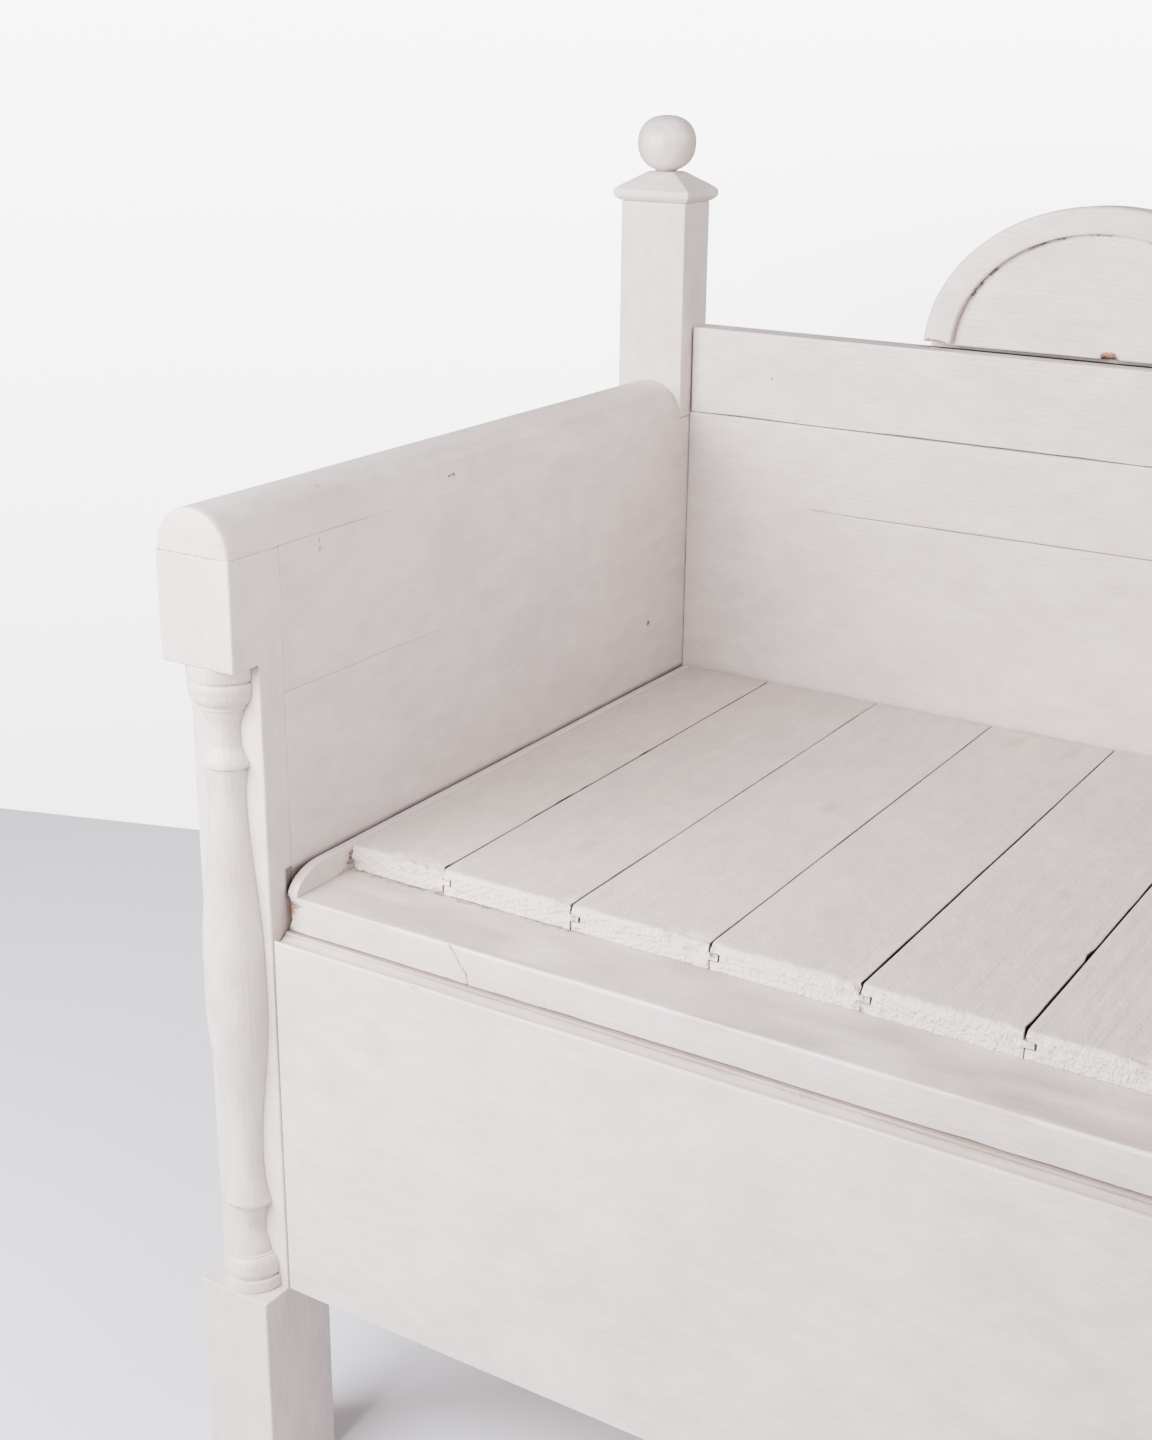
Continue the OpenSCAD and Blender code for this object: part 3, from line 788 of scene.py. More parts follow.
def arm_rail(side, sign):
    """Half-round rail with a softened front end."""
    low, high = box_mm("arm_rail_left")
    r = (high[0] - low[0]) / 2
    centre_x = (high[0] + low[0]) / 2
    outline = [(r * math.cos(a), r * math.sin(a)) for a in (math.pi * k / 26 for k in range(27))]
    outline += [(-r + 2 * r * k / 10, 0.0) for k in range(1, 10)]
    length = high[1] - low[1]
    nicks = [at - low[1] + step for at in NICKS for step in np.linspace(-7.5, 7.5, 7)]
    stations = [(0.0, 2.6), (0.25, 1.7), (0.8, 0.9), (1.6, 0.35), (2.8, 0.0)]
    stations += [(d, 0.0) for d in sorted([*np.linspace(8, length - 4, 26), *nicks])]
    stations += [(length - 0.8, 0.0), (length - 0.25, 0.25), (length, 0.7)]
    bm = start_mesh(*skin([
        [(centre_x + x * (1 - inset / r), low[1] + d, low[2] + max(0.0, z * (1 - inset / r))) for x, z in outline]
        for d, inset in stations
    ]))
    bmesh.ops.recalc_face_normals(bm, faces=bm.faces)
    cap = [f for f in bm.faces if len(f.verts) > 20]
    for x in np.linspace(-r + 4, r - 4, 12):
        geom = cap + list({v for f in cap for v in f.verts}) + list({e for f in cap for e in f.edges})
        cut = bmesh.ops.bisect_plane(bm, geom=geom, plane_co=(centre_x + x, 0, 0), plane_no=(1, 0, 0))
        cap = [g for g in cut["geom"] if isinstance(g, bmesh.types.BMFace)]
    weather(bm, 61 + int(sign), 0.30, 0.0)
    move_points(bm, lambda co, no: arm_seam(co, ARM_SEAM, -190))
    mirrored(bm, sign)
    finish_piece("arm_rail_" + side, bm, PAINTS["y"], plain_marks(0.1, 63, [
        ("wear", (-sign * (HALF_L + 2.1), NICKS[0], ARM_SEAM + 11), (4, 7, 2.5), 0.8),
        ("grime", (-sign * (HALF_L + 2.1), NICKS[0] + 3, ARM_SEAM + 11), (4, 3, 2.5), 0.9),
        ("grime", (-sign * (HALF_L + 14), NICKS[1], ARM_SEAM + 26), (5, 7, 4), 0.55),
    ]))


# Small marks on the inside of the left arm, per side board
ARM_SPOTS = {
    3: [("grime", (-HALF_L, 207, 536.5), (4, 3.5, 3.2), 1.2)],
    4: [("grime", (-HALF_L, -219, 694), (4, 1.6, 8), 0.75)],
}


def side_boards(side, sign):
    upper_seam = box_mm("side_board_left_4")[0][2]
    for b in range(1, 5):
        low, high = box_mm(f"side_board_left_{b}")
        board(
            f"side_board_{side}_{b}", low + (0, 0.05, 0.05), high - (0, 0.05, 0.05), "y", 70 + b * 3 + int(sign),
            sign, step=(8, 14, 5), arris=0.25, wander=0.20, worn=0.08, segments=2,
            marks=plain_marks(0.15, 70 + b, ARM_SPOTS.get(b, ()), sign),
            shape=lambda co, no: arm_seam(arm_seam(co, upper_seam, -149), ARM_SEAM, -190),
            spots=ARM_SPOTS.get(b, ()) if sign > 0 else (),
        )


# ------------------------------------------------------------------ back ---

def back_boards():
    def paint_fills(co, no):
        """Paint hides the middle joints towards the left end."""
        for b in (2, 3, 4):
            seam = box_mm(f"back_board_{b}")[0][2]
            co = fill_seam(co, 2, seam, 1, BACK_FACE + FILLED_FACE, smooth_step((-165 - co[:, 0]) / 50))
        return co

    for b in range(1, 5):
        low, high = box_mm(f"back_board_{b}")
        board(
            f"back_board_{b}", (-HALF_L + 0.05, BACK_FACE, low[2] + 0.1), (HALF_L - 0.05, high[1], high[2] - 0.1),
            "x", 90 + 3 * b, step=(18, 10, 18), arris=0.35, wander=0.30, worn=0.15, segments=2, shape=paint_fills,
        )


rim_lo, rim_hi = box_mm("arch_rim")
RIM_BACK = rim_hi[1]                     # which is also the arch board's face
RIM_WIDE, RIM_HIGH = 23.0, 23.0 * 0.88   # the rim's width at its feet and at its top
# Torn dark patches along the rim's inner edge: x, height above the crest rail, half length
SCRIBBLES = ((-98, 47, 16), (-86, 60, 10), (-52, 82, 15), (-36, 86, 12), (-5, 93, 16), (33, 91, 12), (92, 52, 14))


def crest_rail():
    low = np.array([-HALF_L + 1.0, BACK_FACE, crest_lo[2] + 0.2])
    high = np.array([HALF_L - 1.0, *crest_hi[1:]])
    foot = crest_lo[2]

    def wavy(co, no):
        along = co * (1, 0, 0)
        co[:, 2] += fade(co[:, 2] - foot, 2.0) * (0.35 + 0.45 * soft(along, 48, 113) + 0.25 * soft(along, 11, 114))
        return co

    spots = [
        ("grime", (-262, BACK_FACE, 741), (1.7, 3, 1.7), 1.0),
        ("grime", (low[0], BACK_FACE, foot + 6), (3, 4, 12), 0.75),
    ]

    def marks(co, no):
        out = plain_marks(0.15, 112, spots)(co, no)
        # painted shade on the rail's top under the arch board, and a little painted shade over the whole top
        under_arch = (no[:, 2] > 0.5) * smooth_step((co[:, 1] - RIM_BACK + 1.0) / 1.0)
        out["inside"] = under_arch * smooth_step((box_mm("arch_board")[1][0] - np.abs(co[:, 0])) / 3.0)
        add_mark(out, "shade", 0.05 * (no[:, 2] > 0.8))
        return out

    timber(
        "crest_rail", (low[0], high[0]), (low[1], RIM_BACK - 1.0, RIM_BACK, high[1]), (low[2], high[2]),
        boxes([(low, high)]), "x", 111, step=(14, 8, 12), arris=1.2, wander=0.3, worn=0.4, segments=4,
        marks=marks, shape=wavy, keep=lambda p: p.z < foot + 0.5, spots=spots[:1],
    )


def half_ellipse(a, b, steps):
    return [(a * math.cos(math.pi * k / steps), b * math.sin(math.pi * k / steps)) for k in range(steps + 1)]


def across_rim(co):
    """1 on the ellipse of the rim's inner edge, less inside it."""
    return np.hypot(co[:, 0] / (rim_hi[0] - RIM_WIDE), (co[:, 2] - CREST_TOP) / (rim_hi[2] - CREST_TOP - RIM_HIGH))


def torn_paint(co, least, most):
    torn = least
    for at_x, above, long in SCRIBBLES:
        torn = np.maximum(torn, most * near(co * (1, 0, 1), (at_x, 0, CREST_TOP + above), (long, 9, long)))
    return torn


ARCH_STEPS = 120    # round the arch board's edge
ARCH_SHARES = (     # its inner rings, as shares of the half width
    1.0, 0.93, 0.88, 0.85, 0.835, 0.82, 0.805, 0.79, 0.76, 0.70, 0.60, 0.48, 0.36, 0.24,
    0.15, 0.11, 0.085, 0.065, 0.05, 0.035, 0.02,
)


def arch_board():
    low, high = box_mm("arch_board")
    face, a = RIM_BACK, high[0]
    base = CREST_TOP + 2.2
    rise = high[2] - base
    thick = high[1] - face
    # depth behind the face, and how far the outline is drawn in there
    depth = [(0.0, 1.6), (0.3, 0.8), (0.9, 0.25), (1.8, 0.0), (8.0, 0.0), (14.0, 0.0),
             (thick - 1.2, 0.0), (thick - 0.3, 0.4), (thick, 1.2)]
    across = (*ARCH_SHARES[1:], 0.0, *(-s for s in reversed(ARCH_SHARES[1:])))
    points, faces = [], []

    def add(x, y, z):
        points.append((x, y, z))
        return len(points) - 1

    def field(y, inset, flip):
        """Half-disc face from the outer edge towards the middle of its base: its rim and its lower edge."""
        outer = half_ellipse(a - inset, rise - inset, ARCH_STEPS)
        loops = [
            [add(x * s, y, base + inset + z * s * (1 - inset / rise)) for x, z in outer] for s in ARCH_SHARES
        ]
        middle = add(0, y, base + inset)
        made = [[p[k], q[k], q[k + 1], p[k + 1]] for p, q in zip(loops, loops[1:]) for k in range(ARCH_STEPS)]
        made += [[loops[-1][k], middle, loops[-1][k + 1]] for k in range(ARCH_STEPS)]
        faces.extend(f[::-1] if flip else f for f in made)
        return loops[0], [lp[0] for lp in loops] + [middle] + [lp[-1] for lp in reversed(loops)]

    ring_before, row_before = field(face, depth[0][1], False)
    behind = field(high[1], depth[-1][1], True)
    for d, inset in depth[1:]:
        if d == thick:
            ring_now, row_now = behind
        else:
            outer = half_ellipse(a - inset, rise - inset, ARCH_STEPS)
            ring_now = [add(x, face + d, base + inset + z * (1 - inset / rise)) for x, z in outer]
            row_now = [add((a - inset) * s, face + d, base + inset) for s in across]
            row_now = [ring_now[0], *row_now, ring_now[-1]]
        faces += [[ring_before[k], ring_before[k + 1], ring_now[k + 1], ring_now[k]] for k in range(ARCH_STEPS)]
        faces += [[row_before[k + 1], row_before[k], row_now[k], row_now[k + 1]] for k in range(len(row_now) - 1)]
        ring_before, row_before = ring_now, row_now
    bm = start_mesh(points, faces)
    bmesh.ops.remove_doubles(bm, verts=bm.verts, dist=0.01)
    bmesh.ops.recalc_face_normals(bm, faces=bm.faces)
    weather(bm, 121, 0.3, 0.25)

    def chip(co, no):
        """The knot broken out of the bottom edge, right of the middle."""
        low_edge = fade(co[:, 2] - base, 5.0) * (no[:, 1] < 0.3)
        hole = low_edge * fade(np.abs(co[:, 0] - 8.0), 8.5) * fade(co[:, 1] - face, 7.0)
        co[:, 2] += hole * (2.4 + 0.8 * soft(co, 4, 7))
        co[:, 1] += hole * 1.6
        corner = smooth_step((np.abs(co[:, 0]) - 100) / 25) * fade(co[:, 2] - base, 9)
        co[:, 0] -= np.sign(co[:, 0]) * corner * 9.0
        return co

    move_points(bm, chip)
    # the lap behind the crest rail
    lap_low, lap_high = (-a, crest_hi[1], low[2]), (a, high[1] - 0.3, CREST_TOP + 5.5)
    lap_grid = [lines(ends, step) for ends, step in zip(zip(lap_low, lap_high), (24, 6, 12))]
    lap = start_mesh(*cells(*lap_grid, boxes([(lap_low, lap_high)])))
    soften(lap, 0.9)
    weather(lap, 122, 0.2, 0.3)
    join(bm, lap)

    def marks(co, no):
        out = plain_marks(0.3, 123, [
            ("wear", (8, face, base + 2.6), (9.5, 8, 5.5), 1.15),
            ("grime", (4, face, base + 1.8), (3.5, 6, 3), 1.1),
            ("grime", (12, face + 1, base + 1.8), (4.5, 8, 3.5), 1.3),
        ])(co, no)
        beside_rim = smooth_step((across_rim(co) - 0.968) / 0.016) * (co[:, 1] < face + 1)
        add_mark(out, "grime", beside_rim * torn_paint(co, 0.20, 0.74))
        # painted shade under the board's foot and on the lap's face behind it
        foot = fade(co[:, 2] - base, 1.6) * np.clip(-no[:, 2] * 2.0, 0, 1) * (co[:, 2] > CREST_TOP + 1.5)
        add_mark(out, "inside", foot * smooth_step((co[:, 0] + 95) / 40))
        lap_face = (np.abs(co[:, 1] - crest_hi[1]) < 2) * (co[:, 2] > CREST_TOP - 2) * (co[:, 2] < CREST_TOP + 7)
        add_mark(out, "inside", lap_face * (np.abs(co[:, 0]) < a - 4))
        return out

    finish_piece("arch_board", bm, PAINTS["x"], marks)


def arch_rim():
    a_out, b_out = rim_hi[0], rim_hi[2] - CREST_TOP
    foot = rim_lo[2] - CREST_TOP
    front = rim_lo[1]
    thick = RIM_BACK - front
    # cross-section: share of the width from the inner edge, and depth behind the front
    section = (
        (1.0, thick), (1.0, thick * 0.5), (0.998, 2.6), (0.985, 1.5), (0.955, 0.65), (0.90, 0.15), (0.82, 0.0),
        (0.55, 0.0), (0.30, 0.0), (0.10, 0.0), (0.045, 0.12), (0.012, 0.55), (0.0, 1.4), (0.0, thick * 0.6),
        (0.0, thick), (0.5, thick),
    )
    steps = 96
    # share of the way round, and how far the end is drawn in there
    stations = [(0.0, 0.8), (0.0008, 0.25), (0.0028, 0.0)] + [(k / steps, 0.0) for k in range(1, steps)]
    stations += [(0.9972, 0.0), (0.9992, 0.25), (1.0, 0.8)]

    def on_rim(share, t):
        a, b = a_out - RIM_WIDE * (1 - share), b_out - RIM_HIGH * (1 - share)
        first = math.asin(foot / b)
        angle = first + (math.pi - 2 * first) * t
        return np.array([a * math.cos(angle), b * math.sin(angle)])

    rings = []
    for t, inset in stations:
        middle, pull = on_rim(0.5, t), inset / 12.0
        ring = []
        for share, depth in section:
            x, z = on_rim(share, t) * (1 - pull) + middle * pull
            ring.append((x, front + depth + (thick / 2 - depth) * pull, CREST_TOP + z))
        rings.append(ring)
    bm = start_mesh(*skin(rings))
    bmesh.ops.recalc_face_normals(bm, faces=bm.faces)
    weather(bm, 131, 0.25, 0.3)

    def scribble(co, no):
        """Torn glue line along the rim's inner edge."""
        edge = fade(np.abs(across_rim(co) - 1.0), 0.03) * (no[:, 1] < 0.5)
        co[:, 1] += edge * np.clip(soft(co, 3.5, 133) + 0.1, 0, 1) * 0.3
        return co

    move_points(bm, scribble)

    def marks(co, no):
        out = plain_marks(0.2, 134, [
            ("wear", (-a_out + 10, front, rim_lo[2]), (16, 5, 3.2), 1.0),
            ("wear", (a_out - 14, front, rim_lo[2]), (12, 5, 2.8), 0.9),
        ])(co, no)
        torn = torn_paint(co, 0.24 + 0.2 * soft(co, 12, 135), 0.62)
        add_mark(out, "grime", fade(np.abs(across_rim(co) - 1.0), 0.010) * torn)
        return out

    finish_piece("arch_rim", bm, PAINTS["x"], marks)


# ------------------------------------------------------------------- box ---

# Worked top edge of the front panel: distance behind the face, and how far the top falls there
COVE = (
    (0.0, 3.4), (0.35, 2.5), (0.9, 1.9), (1.8, 1.6), (2.2, 1.75), (2.9, 2.5), (3.9, 3.3), (5.4, 4.1), (7.2, 4.4),
    (9.0, 4.1), (10.6, 3.2), (11.6, 2.4), (12.15, 1.85), (12.5, 1.8267), (12.9, 1.8), (13.15, 0.25), (14.5, 0.0),
)
PANEL_CORNER = 5.0   # radius of its lower corners


def front_panel():
    low, high = box_mm("front_panel")
    low[0], high[0] = -HALF_L + 1.2, HALF_L - 1.2
    y0, top = low[1], high[2]
    cove_y, cove_fall = np.array(COVE).T
    bm = start_mesh(*cells(
        runs((low[0], low[0] + 8, 1.2), (low[0] + 8, high[0] - 8, 16), (high[0] - 8, high[0], 1.2)),
        np.concatenate([y0 + cove_y, lines((y0 + cove_y[-1], high[1]), 6)[1:]]),
        runs((low[2], low[2] + 8, 1.2), (low[2] + 8, top - 6, 14), (top - 6, top, 1.0)),
        boxes([(low, high)]),
    ))

    def shape(co, no):
        # rounded lower corners
        r = PANEL_CORNER
        for sign in (-1, 1):
            u, v = r - (high[0] - sign * co[:, 0]), r - (co[:, 2] - low[2])
            inside = (u > 0) & (v > 0)
            k = np.where(inside, np.maximum(u, v) / np.maximum(1e-6, np.hypot(u, v)), 1.0)
            co[:, 0] = np.where(inside, sign * (high[0] - r + u * k), co[:, 0])
            co[:, 2] = np.where(inside, low[2] + r - v * k, co[:, 2])
        # front lower and end arrises
        d = co[:, 1] - y0
        round_in = 1.1 * np.clip(1 - d / 1.8, 0, 1) ** 2
        edge_x = np.clip(1 - (high[0] - np.abs(co[:, 0])) / 1.3, 0, 1)
        edge_z = np.clip(1 - (co[:, 2] - low[2]) / 1.3, 0, 1)
        co[:, 0] -= np.sign(co[:, 0]) * edge_x * round_in
        co[:, 2] += edge_z * round_in
        # worked top edge: soft arris, hollow, upright fillet
        near_top = np.clip(1 - (top - co[:, 2]) / 6.0, 0, 1)
        fall = np.interp(d, cove_y, cove_fall) + 0.35 * soft(co, (60, 1000, 1000), 5) * np.clip(1 - d / 4, 0, 1)
        co[:, 2] -= near_top * fall
        dents = near(co, (-247, y0, 389), (8, 3, 18)) + 0.6 * near(co, (-120, y0, 285), (40, 3, 9))
        co[:, 1] += dents * 0.45 * (d < 1)
        return co

    move_points(bm, shape)
    weather(bm, 141, 0.35, 0.25)
    for v in bm.verts:
        v.co.y = max(v.co.y, y0)

    def marks(co, no):
        out = plain_marks(0.25, 142, [
            ("shade", (-247, y0, 389), (7, 4, 17), 0.34),
            ("grime", (-246, y0, 393), (4, 4, 11), 0.56),
            ("wear", (-215, y0, top - 3.5), (6, 5, 4), 0.85),
            ("wear", (-286, y0, top - 3), (4, 4, 3), 0.80),
            ("wear", (-360, y0, 333), (3, 4, 6), 0.80),
            ("grime", (-144, y0, 398), (2.5, 3, 2.5), 0.7),
        ])(co, no)
        d, z = co[:, 1] - y0, co[:, 2]
        # painted shade in the groove and hollow of the worked top edge, darker towards the back, and near black
        # where the rail covers it
        groove = smooth_step(1.4 * (1 - np.abs(d - 12.5) / 1.4)) * (z > top - 4)
        add_mark(out, "shade", groove * (0.85 + 0.25 * soft(co, 26, 143)))
        hollow = smooth_step((d - 1.2) / 9.0) * (z > top - 6) * (d < 14)
        add_mark(out, "shade", hollow * (0.42 + 0.12 * soft(co, 30, 144)))
        add_mark(out, "shade", 0.85 * (z > top - 1.2) * smooth_step((d - 13.2) / 0.8))
        out["inside"] = (z > top - 1.2) * smooth_step((d - 17) / 3.0)
        return out

    finish_piece("front_panel", bm, PAINTS["x"], marks)


def box_inside():
    for b in range(1, 5):
        board(f"floor_board_{b}", *box_mm(f"floor_board_{b}"), "x", 150 + b, step=(34, 20, 9), arris=0.8,
              wander=0.4, look=PINES["x"], slot="bare_pine")
    for side, sign in SIDES.items():
        board("floor_batten_" + side, *box_mm("floor_batten_left"), "y", 156, sign, arris=0.8,
              look=PINES["y"], slot="bare_pine")
        board("lid_ledge_" + side, *box_mm("lid_ledge_left"), "y", 158, sign, arris=1.2)


# ------------------------------------------------------------------- lid ---

SEAM = 0.6
seat_boxes = [box_mm(f"seat_board_{b}") for b in range(1, 8)]
PLANK_FRONT = seat_boxes[0][0][1]

# Per seam, counted from the left: how far the right-hand edge of the board on its left has shrunk back at the
# front and at the back, and the breakouts along it as (distance from the front, length, depth)
SEAMS = (
    (0.5, 0.2, ((8, 14, 2.4), (118, 26, 1.0), (150, 40, 1.3), (182, 22, 0.9), (268, 20, 0.9))),
    (0.2, 0.0, ((4, 10, 1.8), (60, 30, 0.3), (230, 40, 0.2))),
    (0.2, 0.1, ((4, 10, 1.5), (120, 30, 0.3), (200, 24, 0.3))),
    (0.9, 0.1, ((6, 10, 1.2), (60, 60, 0.4), (190, 50, 0.3))),
    (0.85, 0.45, ((8, 12, 1.2), (60, 90, 0.3), (112, 14, 1.9), (240, 40, 0.4))),
    (0.9, 0.3, ((6, 12, 1.4), (60, 70, 0.4), (140, 40, 0.4))),
)
TONGUE, GROOVE, GROOVE_DEEP = 2.5, 2.8, 6.8   # half thickness, half height, depth
NOSE = (3.6, 4.2, 4.4, 6.0, 6.0, 5.0, 4.6)    # how far each board's front end is rounded over
# Knots that ghost through the seat's paint: board, mm from its left edge and from its front, size, darkness
KNOTS = (
    (3, 68, 241, 8, 0.34), (4, 30, 446, 9, 0.30), (4, 76, 448, 8, 0.28), (5, 58, 190, 8, 0.25), (2, 60, 86, 9, 0.25),
)
# Wood torn from the boards' front ends: board, mm from its right edge, half width, depth
BREAKOUTS = ((1, 26, 24, 2.6), (1, 6, 12, 2.0), (2, 6, 11, 1.6), (3, 14, 22, 3.0), (4, 5, 10, 1.4), (6, 30, 18, 1.6))


def rounded_over(co, r, u, v, low_y, high_z):
    """Brings the points of a square arris, u and v inside a corner of radius r, onto the round."""
    inside = (u > 0) & (v > 0)
    k = np.where(inside, np.maximum(u, v) / np.maximum(1e-6, np.hypot(u, v)), 1.0)
    co[:, 1] = np.where(inside, low_y + r - u * k, co[:, 1])
    co[:, 2] = np.where(inside, high_z - r + v * k, co[:, 2])


def seat_board(b):
    low, high = seat_boxes[b - 1]
    last = b == len(seat_boxes)
    left = low[0]
    right = high[0] if last else seat_boxes[b][0][0] - SEAM
    mid = (low[2] + high[2]) / 2
    add = [((left, low[1], low[2]), (right, high[1], high[2]))]
    xs = [left, right]
    if not last:
        add.append(((right - 1, low[1], mid - TONGUE), (high[0], high[1], mid + TONGUE)))
        xs.append(high[0])
    cut = []
    if b > 1:
        cut.append(((left - 1, low[1] - 1, mid - GROOVE), (left + GROOVE_DEEP, high[1] + 1, mid + GROOVE)))
        xs.append(left + GROOVE_DEEP)
    front_lines = low[1] + np.array([0, 0.7, 1.5, 2.5, 3.7, 5.0, 6.5, 9.0, 12.0, 16.0])
    ys = np.concatenate([front_lines, lines((low[1] + 16, high[1]), 11, 0)[1:]])
    zs = np.unique(np.round(np.concatenate([
        low[2] + np.array([0, 1.6, 3.2, 4.8]), mid + np.array([-GROOVE, -TONGUE, -0.9, 0.9, TONGUE, GROOVE]),
        high[2] - np.array([0, 0.8, 1.7, 2.8, 4.2]),
    ]), 3))
    bm = start_mesh(*cells(lines(xs, 2.4, 2.2), ys, zs, boxes(add, cut)))

    def stays(p):
        in_joint = abs(p.z - mid) < GROOVE + 0.2
        return in_joint or (p.y < low[1] + 0.01 and abs(p.x - left) > 1 and abs(p.x - right) > 1)

    soften(bm, 0.5, keep=stays)

    def shape(co, no):
        y = co[:, 1] - low[1]
        z = co[:, 2].copy()
        length_only = co * (0, 1, 0)
        # front top arris, rounded unevenly
        r = NOSE[b - 1] + 1.1 * soft(co * (1, 0, 0), 26, 160 + b) + 0.8 * soft(co * (1, 0, 0), 6, 170 + b)
        rounded_over(co, r, r - y, r - (high[2] - z), low[1], high[2])
        # rough sawn end, broken near the joints
        end = np.clip(1 - y / 5.0, 0, 1)
        joint = np.maximum(fade(co[:, 0] - left, 20.0), fade(right - co[:, 0], 20.0))
        ragged = 0.55 * soft(co, (3, 8, 3), 180 + b) + 0.45 * soft(co, (8, 20, 6), 190 + b)
        rough_here = smooth_step(soft(co * (1, 0, 1), 26, 205 + b) * 1.6 + 0.25)
        lumps = np.clip(soft(co, (5, 30, 4.5), 200 + b) + 0.15, 0, 1) * (0.15 + 0.5 * rough_here + 1.9 * joint)
        co[:, 1] += end * (0.7 + ragged * (0.18 + 0.5 * rough_here + 0.3 * joint) + lumps)
        splinter = np.clip(soft(co, (7, 6, 30), 210 + b), 0, 1) * 1.1 * (z > mid)
        co[:, 2] -= np.clip(1 - y / 10.0, 0, 1) * joint * splinter
        for board_no, from_right, wide, deep in BREAKOUTS:
            if board_no == b:
                crumbs = 0.45 + 0.9 * np.clip(soft(co, (4.5, 4.5, 4.5), 215 + b) + 0.3, 0, 1)
                torn = near(co, (right - from_right, low[1], high[2]), (wide, 13, 14)) * crumbs
                co[:, 2] -= torn * deep * (z > mid)
                co[:, 1] += torn * deep * 0.8 * (y < 6)
        # cupping, and long edges that wander
        across = (co[:, 0] - left) / (right - left) * 2 - 1
        length_only = co * (0, 1, 0)
        co[:, 2] -= (z > mid) * (0.25 + 0.25 * across ** 2 * (1 + 0.5 * soft(length_only, 200, 220 + b)))
        upper = (z > mid + GROOVE - 0.1).astype(float)
        if not last:
            front_gap, back_gap, chips = SEAMS[b - 1]
            gap = front_gap + (back_gap - front_gap) * y / (high[1] - low[1])
            gap = gap + 0.22 * soft(length_only, 36, 230 + b) + 0.12 * soft(length_only, 9, 240 + b) + 0.1
            for at, length, deep in chips:
                gap = gap + deep * fade(np.abs(y - at), length / 2) * (0.8 + 0.4 * soft(length_only, 5, 250 + b))
            co[:, 0] -= upper * fade(right - co[:, 0], 3.4) * (co[:, 0] <= right + 0.01) * gap
        if b > 1:
            co[:, 0] += upper * fade(co[:, 0] - left, 3.4) * (0.12 * soft(length_only, 30, 260 + b) + 0.12)
        return co

    move_points(bm, shape)
    weather(bm, 270 + b, 0.18, 0.15)
    for v in bm.verts:
        v.co.z = min(v.co.z, high[2])

    def marks(co, no):
        y = co[:, 1] - low[1]
        joint = np.maximum(fade(co[:, 0] - left, 9.0), fade(right - co[:, 0], 9.0))
        out = plain_marks(0.35, 280 + b)(co, no)
        # painted shade on the joint faces below the top, in the seams between boards
        hidden = np.maximum((np.abs(no[:, 0]) > 0.6), (no[:, 2] > 0.6) * (co[:, 2] < mid + GROOVE + 1.0))
        out["inside"] = hidden * smooth_step((high[2] - co[:, 2] - 0.7) / 0.9) * smooth_step((y - 3.0) / 5.0)
        out["polish"] = out["polish"] * smooth_step((y - 8) / 6)
        out["open_grain"] = fade(y, 5.5) * np.clip(0.2 - no[:, 1] * 1.2, 0, 1)
        add_mark(out, "grime", 0.75 * joint * fade(y, 6) * np.clip(soft(co, 5, 290 + b) + 0.2, 0, 1))
        # painted shadow line along the foot of the board's front end, where it sits on the rail
        at_rail = fade(co[:, 2] - low[2], 3.0) * fade(y, 8)
        add_mark(out, "grime", at_rail * (0.50 - 0.09 * b + 0.25 * soft(co, 14, 300 + b)))
        if not last:
            side = fade(right - co[:, 0], 3.0)
            for at, length, cut_in in SEAMS[b - 1][2]:
                add_mark(out, "grime", side * 0.8 * min(1, cut_in) * fade(np.abs(y - at), length * 0.6))
        if b == 3:
            add_mark(out, "grime", 0.5 * near(co, (left + 60, low[1] + 140, high[2]), (9, 7, 4)))
        for board_no, across, along, size, dark in KNOTS:
            if board_no == b:
                centre = (left + across, low[1] + along, high[2])
                add_mark(out, "shade", dark * near(co, centre, (size, size * 1.5, 6)))
        return out

    finish_piece(f"seat_board_{b}", bm, SEAT_PAINT, marks, "lid")


# Cracks down the face of the lid's front rail: strength, half width, and (x, mm below the top) points
CRACKS = (
    (1.0, 1.7, ((-204.5, -1.0), (-201.0, 4.0), (-199.0, 6.5), (-196.5, 12.0), (-191.5, 18.0), (-190.0, 23.0))),
    (0.55, 1.4, ((-162.0, -1.0), (-152.0, 7.0), (-141.0, 15.0), (-131.5, 23.0))),
)
CRACKED = (CRACKS[0][2][0][0] - 12, CRACKS[1][2][-1][0] + 8)   # the length of rail that holds them


def crack_lines(co, top):
    """1 on the cracks' lines, falling to 0 beside them."""
    found = np.zeros(len(co))
    for n, (strength, wide, track) in enumerate(CRACKS):
        at = np.interp(top - co[:, 2], [p[1] for p in track], [p[0] for p in track])
        at = at + 0.9 * soft(co * (0, 0, 1), 4.0, 318 + n)
        found = np.maximum(found, strength * smooth_step(1.3 * (1 - np.abs(co[:, 0] - at) / wide)))
    return found


